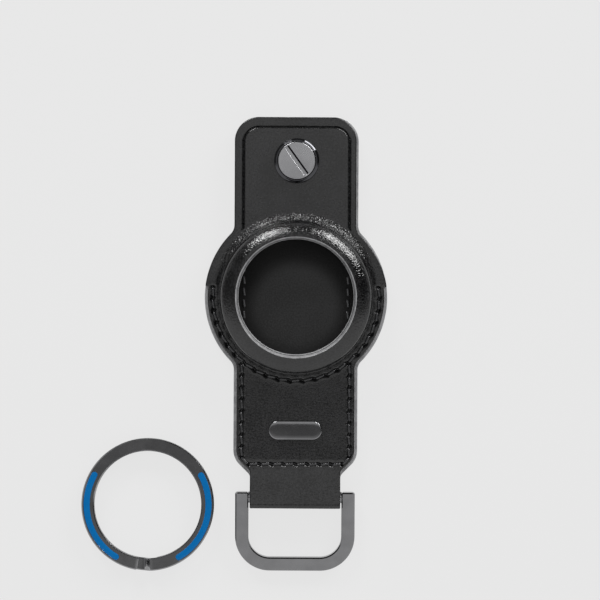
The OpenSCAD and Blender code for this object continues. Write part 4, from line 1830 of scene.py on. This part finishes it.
@dataclass
class StrapRing:
    """The D-ring: a flat bar bent to a U, with a round bar in the strap's loop."""

    metal: Material
    pivot: Array = field(default_factory=lambda: joint_point("d_ring_swing"))
    bar_r: float = 1.4
    reach: float = 18.0
    arm_w: float = 3.25
    arm_t: float = 2.4
    arm_bevel: float = 0.3
    arm_drop: float = 0.36
    inner_x: float = 11.35
    corner_r: float = 8.5
    heel: float = 1.3
    pitch: float = 0.45
    bar_count: int = 40

    def build(self) -> list[Piece]:
        """Builds the ring."""
        middle_x = self.inner_x + self.arm_w / 2
        middle_r = self.corner_r - self.arm_w / 2
        far = -(self.reach - self.arm_w / 2)
        maker = Maker()
        corners = [(-middle_x, self.heel), (-middle_x, far), (middle_x, far), (middle_x, self.heel)]
        self._sweep(maker, rounded_path(corners, [middle_r, middle_r], self.pitch))
        self._bar(maker, middle_x)
        tilt = self._droop()
        cos, sin = math.cos(tilt), math.sin(tilt)
        turn = np.array([[1, 0, 0], [0, cos, -sin], [0, sin, cos]])
        maker.shape(lambda p: p @ turn.T + self.pivot)
        piece = maker.build("strap_ring", [self.metal], 22)
        return [settle(piece, Body.RING, Slot.GUNMETAL, "d_ring")]

    def _sweep(self, maker: Maker, path: Array) -> None:
        """Sweeps the arm's section along the U, with both ends bevelled."""
        aside = square_to(path)
        run = distance_along(path)
        near = np.array([0.0, self.arm_bevel])
        between = run[(run > self.arm_bevel + 0.05) & (run < run[-1] - self.arm_bevel - 0.05)]
        stations = np.concatenate([near, between, run[-1] - near[::-1]])
        insets = np.interp(np.minimum(stations, run[-1] - stations), near, [self.arm_drop, 0.0])
        rings = []
        for s, drawn_in in zip(stations, insets):
            point, out = (
                np.array([np.interp(s, run, part) for part in both.T]) for both in (path, aside)
            )
            w, t = self.arm_w - 2 * drawn_in, self.arm_t - 2 * drawn_in
            section = bevelled_section(w, t, self.arm_bevel, self.arm_drop)
            rings.append(maker.level(point + section[:, :1] * out, section[:, 1]))
        maker.tube(rings)

    def _bar(self, maker: Maker, half: float) -> None:
        """The round bar, from arm to arm."""
        round_one = circle((0, 0), 1.0, self.bar_count)
        shape = [
            (half - 0.6, self.arm_t * 0.4), (self.inner_x + 0.1, self.arm_t * 0.45),
            (self.inner_x, self.bar_r), (self.inner_x / 2, self.bar_r),
        ]
        row = [(-x, r) for x, r in shape] + shape[::-1]
        maker.tube([maker.add(np.c_[np.full(self.bar_count, x), r * round_one]) for x, r in row])

    def _droop(self) -> float:
        """Angle at which the ring's far side rests on what the holder lies on."""
        contact, half_t = self.reach - 0.45, self.arm_t / 2
        return math.asin(self.pivot[2] / math.hypot(contact, half_t)) - math.atan2(half_t, contact)


@dataclass
class KeyRing:
    """The loose split ring: two turns of flat wire with two enamelled channels."""

    metal: Material
    enamel: Material
    wire_w: float = 3.1
    wire_t: float = 1.3
    wire_bevel: float = 0.28
    turn_gap: float = 0.45
    step_angle: float = 9.0
    end_angle: float = 4.5
    facing: float = 270.0
    channel_w: float = 1.6
    channel_depth: float = 0.22
    rim: float = 0.5
    sweep: float = 94.0
    start: float = 28.0
    degrees: float = 1.5
    end_span: float = 3.4
    end_count: int = 35
    end_ease: float = 0.18
    cut_ease: float = 0.06
    fit: float = 0.03
    crown: float = 0.06
    sink: float = 0.05

    def __post_init__(self) -> None:
        """Takes the ring's place from the frame."""
        low, high = box_mm("split_ring")
        self.centre = ((low + high) / 2)[:2]
        self.outer_r = float((high - low)[0] / 2)
        self.rise = self.wire_t + self.turn_gap
        self.channel_r = self.outer_r - self.rim - self.channel_w / 2

    def build(self) -> list[Piece]:
        """Builds the wire and both inlays."""
        left, right = self.start, 360 - self.start - self.sweep
        return [
            self._wire([left, right]),
            self._inlay("blue_inlay_left", "enamel_left", left),
            self._inlay("blue_inlay_right", "enamel_right", right),
        ]

    def _half_width(self, angle: float, start: float) -> float:
        """Half the channel's width at an angle, with round ends."""
        half = self.channel_w / 2
        to_end = math.radians(min(angle - start, start + self.sweep - angle)) * self.channel_r
        inwards = min(max(half - to_end, 0.0), half)
        return 0.0 if to_end < 0 else math.sqrt(half**2 - inwards**2)

    def _stations(self, first: float, last: float, spans: Sequence[float]) -> Array:
        """Angles along the wire, closer together at the channels' ends."""
        angles = [np.arange(first, last, self.degrees), [last]]
        near = np.linspace(-self.end_span, self.end_span, self.end_count)
        angles += [end + near for start in spans for end in (start, start + self.sweep)]
        merged = np.unique(np.round(np.concatenate(angles), 4))
        return merged[(merged >= first) & (merged <= last)]

    def _section(self, half: float, depth: float) -> Array:
        """Section of the wire as radius and height, with the channel open by a half width."""
        plain = bevelled_section(self.wire_w, self.wire_t, self.wire_bevel, self.wire_bevel)
        plain[:, 0] += self.outer_r - self.wire_w / 2
        top = self.wire_t / 2
        ease = min(self.cut_ease, half)
        floor = max(half - ease, 0)
        cut = [(half, top), (floor, top - min(depth, ease)), (floor, top - depth)]
        cut += [(-away, z) for away, z in cut[::-1]]
        return np.concatenate([plain[:2], np.array(cut) + (self.channel_r, 0), plain[2:]])

    def _wire(self, spans: Sequence[float]) -> Piece:
        """The wire with its step and channels."""
        first = self.step_angle / 2 + self.end_angle
        last = 720 - first
        step_from = 360 - self.step_angle / 2
        middle = np.array([self.outer_r - self.wire_w / 2, 0])
        size = np.array([self.wire_w, self.wire_t])
        maker = Maker()
        rings = []
        for angle in self._stations(first, last, spans):
            share = min(1.0, max(0.0, (angle - step_from) / self.step_angle))
            z = self.rise * (1 + math.cos(math.pi * share)) / 2 + self.wire_t / 2
            half = max(self._half_width(angle, start) for start in spans)
            section = self._section(half, self.channel_depth if half > 0 else 0.0)
            to_end = math.radians(min(angle - first, last - angle)) * self.outer_r
            left = max(0.0, 1 - to_end / self.end_ease)
            tuck = self.end_ease * (1 - math.sqrt(1 - left**2))
            section = middle + (section - middle) * (1 - 2 * tuck / size) + (0, z)
            rings.append(maker.add(turned(section, angle)))
        maker.tube(rings)
        maker.shape(self._placed)
        piece = maker.build("key_split_ring", [self.metal], 35)
        return settle(piece, Body.KEY_RING, Slot.GUNMETAL, "split_ring")

    def _inlay(self, name: str, node: str, start: float) -> Piece:
        """One enamel inlay, slightly crowned."""
        top = self.rise + self.wire_t
        across = np.linspace(-1, 1, 9)
        maker = Maker()
        rows = []
        for angle in self._stations(start + 0.02, start + self.sweep - 0.02, [start]):
            half = max(self._half_width(angle, start) - self.fit, 0.01)
            crown = top - self.sink + self.crown * (1 - across**2) * min(1.0, half / 0.5)
            under = [(self.channel_r + side * half, top - self.channel_depth) for side in (1, -1)]
            section = np.concatenate([np.c_[self.channel_r + across * half, crown], under])
            rows.append(maker.add(turned(section, angle)))
        maker.tube(rows)
        maker.shape(self._placed)
        piece = maker.build(name, [self.enamel], 50)
        return settle(piece, Body.KEY_RING, Slot.ENAMEL, node)

    def _placed(self, points: Array) -> Array:
        """Mirrors the ring, turns it to its facing and moves it to its place."""
        a = math.radians(self.facing)
        turn = np.array([[math.cos(a), math.sin(a)], [math.sin(a), -math.cos(a)]])
        return np.c_[points[:, :2] @ turn.T + self.centre, points[:, 2]]


@dataclass(frozen=True)
class Softbox:
    """An area light that looks at the object, by its direction and half angles in degrees."""

    name: str
    azimuth: float
    elevation: float
    half_width: float
    half_height: float
    radiance: float
    distance: float = 2.2
    power_share: float = 4.0

    def place(self) -> None:
        """Adds the light to the scene."""
        light = bpy.data.lights.new(self.name, "AREA")
        light.shape = "RECTANGLE"
        light.size = 2 * self.distance * math.tan(math.radians(self.half_width))
        light.size_y = 2 * self.distance * math.tan(math.radians(self.half_height))
        light.energy = self.power_share * self.radiance * light.size * light.size_y
        lamp = bpy.data.objects.new(self.name, light)
        a, e = math.radians(self.azimuth), math.radians(self.elevation)
        way = Vector((math.cos(a) * math.cos(e), math.sin(a) * math.cos(e), math.sin(e)))
        lamp.location = way * self.distance
        lamp.rotation_euler = way.to_track_quat("Z", "Y").to_euler()
        lamp.visible_camera = False
        bpy.context.scene.collection.objects.link(lamp)


@dataclass
class Studio:
    """The pale floor, the lights and the camera."""

    floor_half: float = 3000.0
    floor_drop: float = 0.03
    floor_colour: tuple[float, float, float] = (0.80, 0.80, 0.80)
    floor_glow: float = 0.92
    glow_level: float = 0.797
    left_level: float = 0.15
    right_level: float = 0.04
    front_level: float = 0.95
    side_span: tuple[float, float] = (0.05, 0.6)
    front_span: tuple[float, float] = (-0.33, -0.02)
    pixel: float = 0.2445
    picture: int = 600
    axis_pixel: tuple[float, float] = (296.0, 297.6)
    focus_height: float = 2.5
    distance: float = 820.0
    sensor: float = 36.0
    lean: float = 0.3

    def build(self) -> None:
        """Builds the whole stage."""
        self.floor()
        self.world()
        for box in self.boxes():
            box.place()
        self.camera()

    def boxes(self) -> list[Softbox]:
        """The softboxes, by the direction they shine from."""
        return [
            Softbox("overhead_softbox", 90, 74, 32, 17, 0.53, 0.45),
            Softbox("overhead_edge", 90, 46, 32, 11, 0.1, 0.45),
            Softbox("upper_right_strip", 51, 22, 17, 8, 12.0),
            Softbox("upper_left_strip", 114, 25, 9.5, 8, 15.0),
        ]

    def floor(self) -> None:
        """A wide pale floor that keeps the object's shadow."""
        maker = Maker()
        corners = self.floor_half * np.array([(-1, -1), (1, -1), (1, 1), (-1, 1)])
        maker.cap(maker.level(corners, -self.floor_drop))
        made, graph = new_material("floor_paint")
        dust = graph.noise(40.0, 2.0)
        shade = graph.mix_colours(dust, tuple(c * 0.995 for c in self.floor_colour), self.floor_colour)
        plain = graph.add("ShaderNodeBsdfDiffuse", None, {"Color": shade})
        glow_colour = (*[self.glow_level] * 3, 1.0)
        glow = graph.add("ShaderNodeEmission", None, {"Color": glow_colour, "Strength": 1.0})
        path = graph.add("ShaderNodeLightPath")
        seen = (
            graph.out(path, "Is Camera Ray") + graph.out(path, "Is Glossy Ray")
            + graph.out(path, "Is Transmission Ray")
        ).clamped()
        mixed = graph.add(
            "ShaderNodeMixShader", None,
            {0: seen * self.floor_glow, 1: graph.out(plain), 2: graph.out(glow)},
        )
        graph.add("ShaderNodeOutputMaterial", None, {"Surface": graph.out(mixed)})
        maker.build("pale_floor", [made])

    def world(self) -> None:
        """A dim surround that is pale in front."""
        world = bpy.data.worlds.new("studio_surround")
        bpy.context.scene.world = world
        world.use_nodes = True
        graph = Graph(world.node_tree)
        coordinates = graph.out(graph.add("ShaderNodeTexCoord"), "Generated")
        way = graph.add("ShaderNodeSeparateXYZ", None, {0: coordinates})
        dim = graph.between(graph.out(way, "X"), *self.side_span, self.left_level, self.right_level)
        in_front = graph.between(graph.out(way, "Y"), *self.front_span, 1.0, 0.0)
        level = dim + in_front * (self.front_level - dim)
        seen = graph.out(graph.add("ShaderNodeLightPath"), "Is Camera Ray")
        back = graph.add(
            "ShaderNodeBackground", None,
            {"Color": (1.0, 1.0, 1.0, 1.0), "Strength": level + seen * (self.floor_colour[0] - level)},
        )
        graph.add("ShaderNodeOutputWorld", None, {"Surface": graph.out(back)})

    def camera(self) -> None:
        """A camera straight above, framed as the photograph is."""
        data = bpy.data.cameras.new("picture_camera")
        camera = bpy.data.objects.new("picture_camera", data)
        middle = self.picture / 2
        x = (middle - self.axis_pixel[0]) * self.pixel
        y = (self.axis_pixel[1] - middle) * self.pixel
        camera.location = (x * MM, y * MM, (self.focus_height + self.distance) * MM)
        camera.rotation_euler = (0.0, 0.0, math.radians(self.lean))
        data.sensor_width = self.sensor
        data.lens = self.sensor * self.distance / (self.pixel * self.picture)
        data.clip_start = 0.01
        data.clip_end = 20.0
        bpy.context.scene.collection.objects.link(camera)
        bpy.context.scene.camera = camera


def report(pieces: Sequence[Piece]) -> None:
    """Logs each piece with its number of faces."""
    for piece in pieces:
        LOG.info("%s: %d faces", piece.name, len(piece.data.polygons))


def main() -> None:
    """Builds and dresses every piece and the stage."""
    logging.basicConfig(level=logging.INFO, format="%(name)s: %(message)s")
    bpy.context.scene.view_settings.view_transform = "Standard"
    Studio().build()
    leather = LeatherFinish("black_calf").material()
    front_leather = LeatherFinish(
        "black_calf_front", grain_size=0.62, valley_share=0.8, worked=True
    ).material()
    # The lining carries painted shade that darkens it towards the pocket's rim.
    lining = LeatherFinish(
        "black_lining", (0.003, 0.003, 0.003), (0.013, 0.013, 0.0135), roughness=0.4, ior=1.45,
        painted_pocket_shade=True,
    ).material()
    painted = EdgeFinish("edge_paint").material()
    thread = ThreadFinish("waxed_thread").material()
    # The thread seen through the window is a lighter copy of the waxed thread: painted sheen for its
    # glints.
    inner_thread = ThreadFinish(
        "window_thread_painted_sheen", (0.03, 0.03, 0.032), (0.11, 0.11, 0.115), roughness=0.18
    ).material()
    gunmetal = PlatedFinish("gunmetal_plate", (0.242, 0.242, 0.248), 0.11, (1.0, 6.0, 1.0)).material()
    dark_wire = PlatedFinish("dark_wire_plate", (0.33, 0.33, 0.337), 0.12).material()
    satin = PlatedFinish("satin_plate", (0.33, 0.33, 0.34), 0.26, (1.0, 1.0, 1.0), 0.12, 0.002).material()
    chrome = PlatedFinish("dark_polished_plate", (0.075, 0.075, 0.08), 0.09, patches=0.02).material()
    steel = PlatedFinish("clip_steel", (0.5, 0.5, 0.51), 0.35).material()
    enamel = EnamelFinish("blue_enamel").material()

    sizes = HolderSizes()
    seams = SeamPlan(sizes)
    bend = StrapBend(sizes, joint_point("d_ring_swing"))
    assemblies = [
        FrontCover(sizes, DomeShape(sizes), seams, bend, front_leather, lining, painted, thread),
        BackCover(sizes, seams, leather, lining, painted, thread, inner_thread),
        Badge(sizes, gunmetal, steel),
        Closure(sizes, satin, chrome, gunmetal),
        StrapRing(gunmetal),
        KeyRing(dark_wire, enamel),
    ]
    for assembly in assemblies:
        report(assembly.build())


if __name__ == "__main__":
    main()
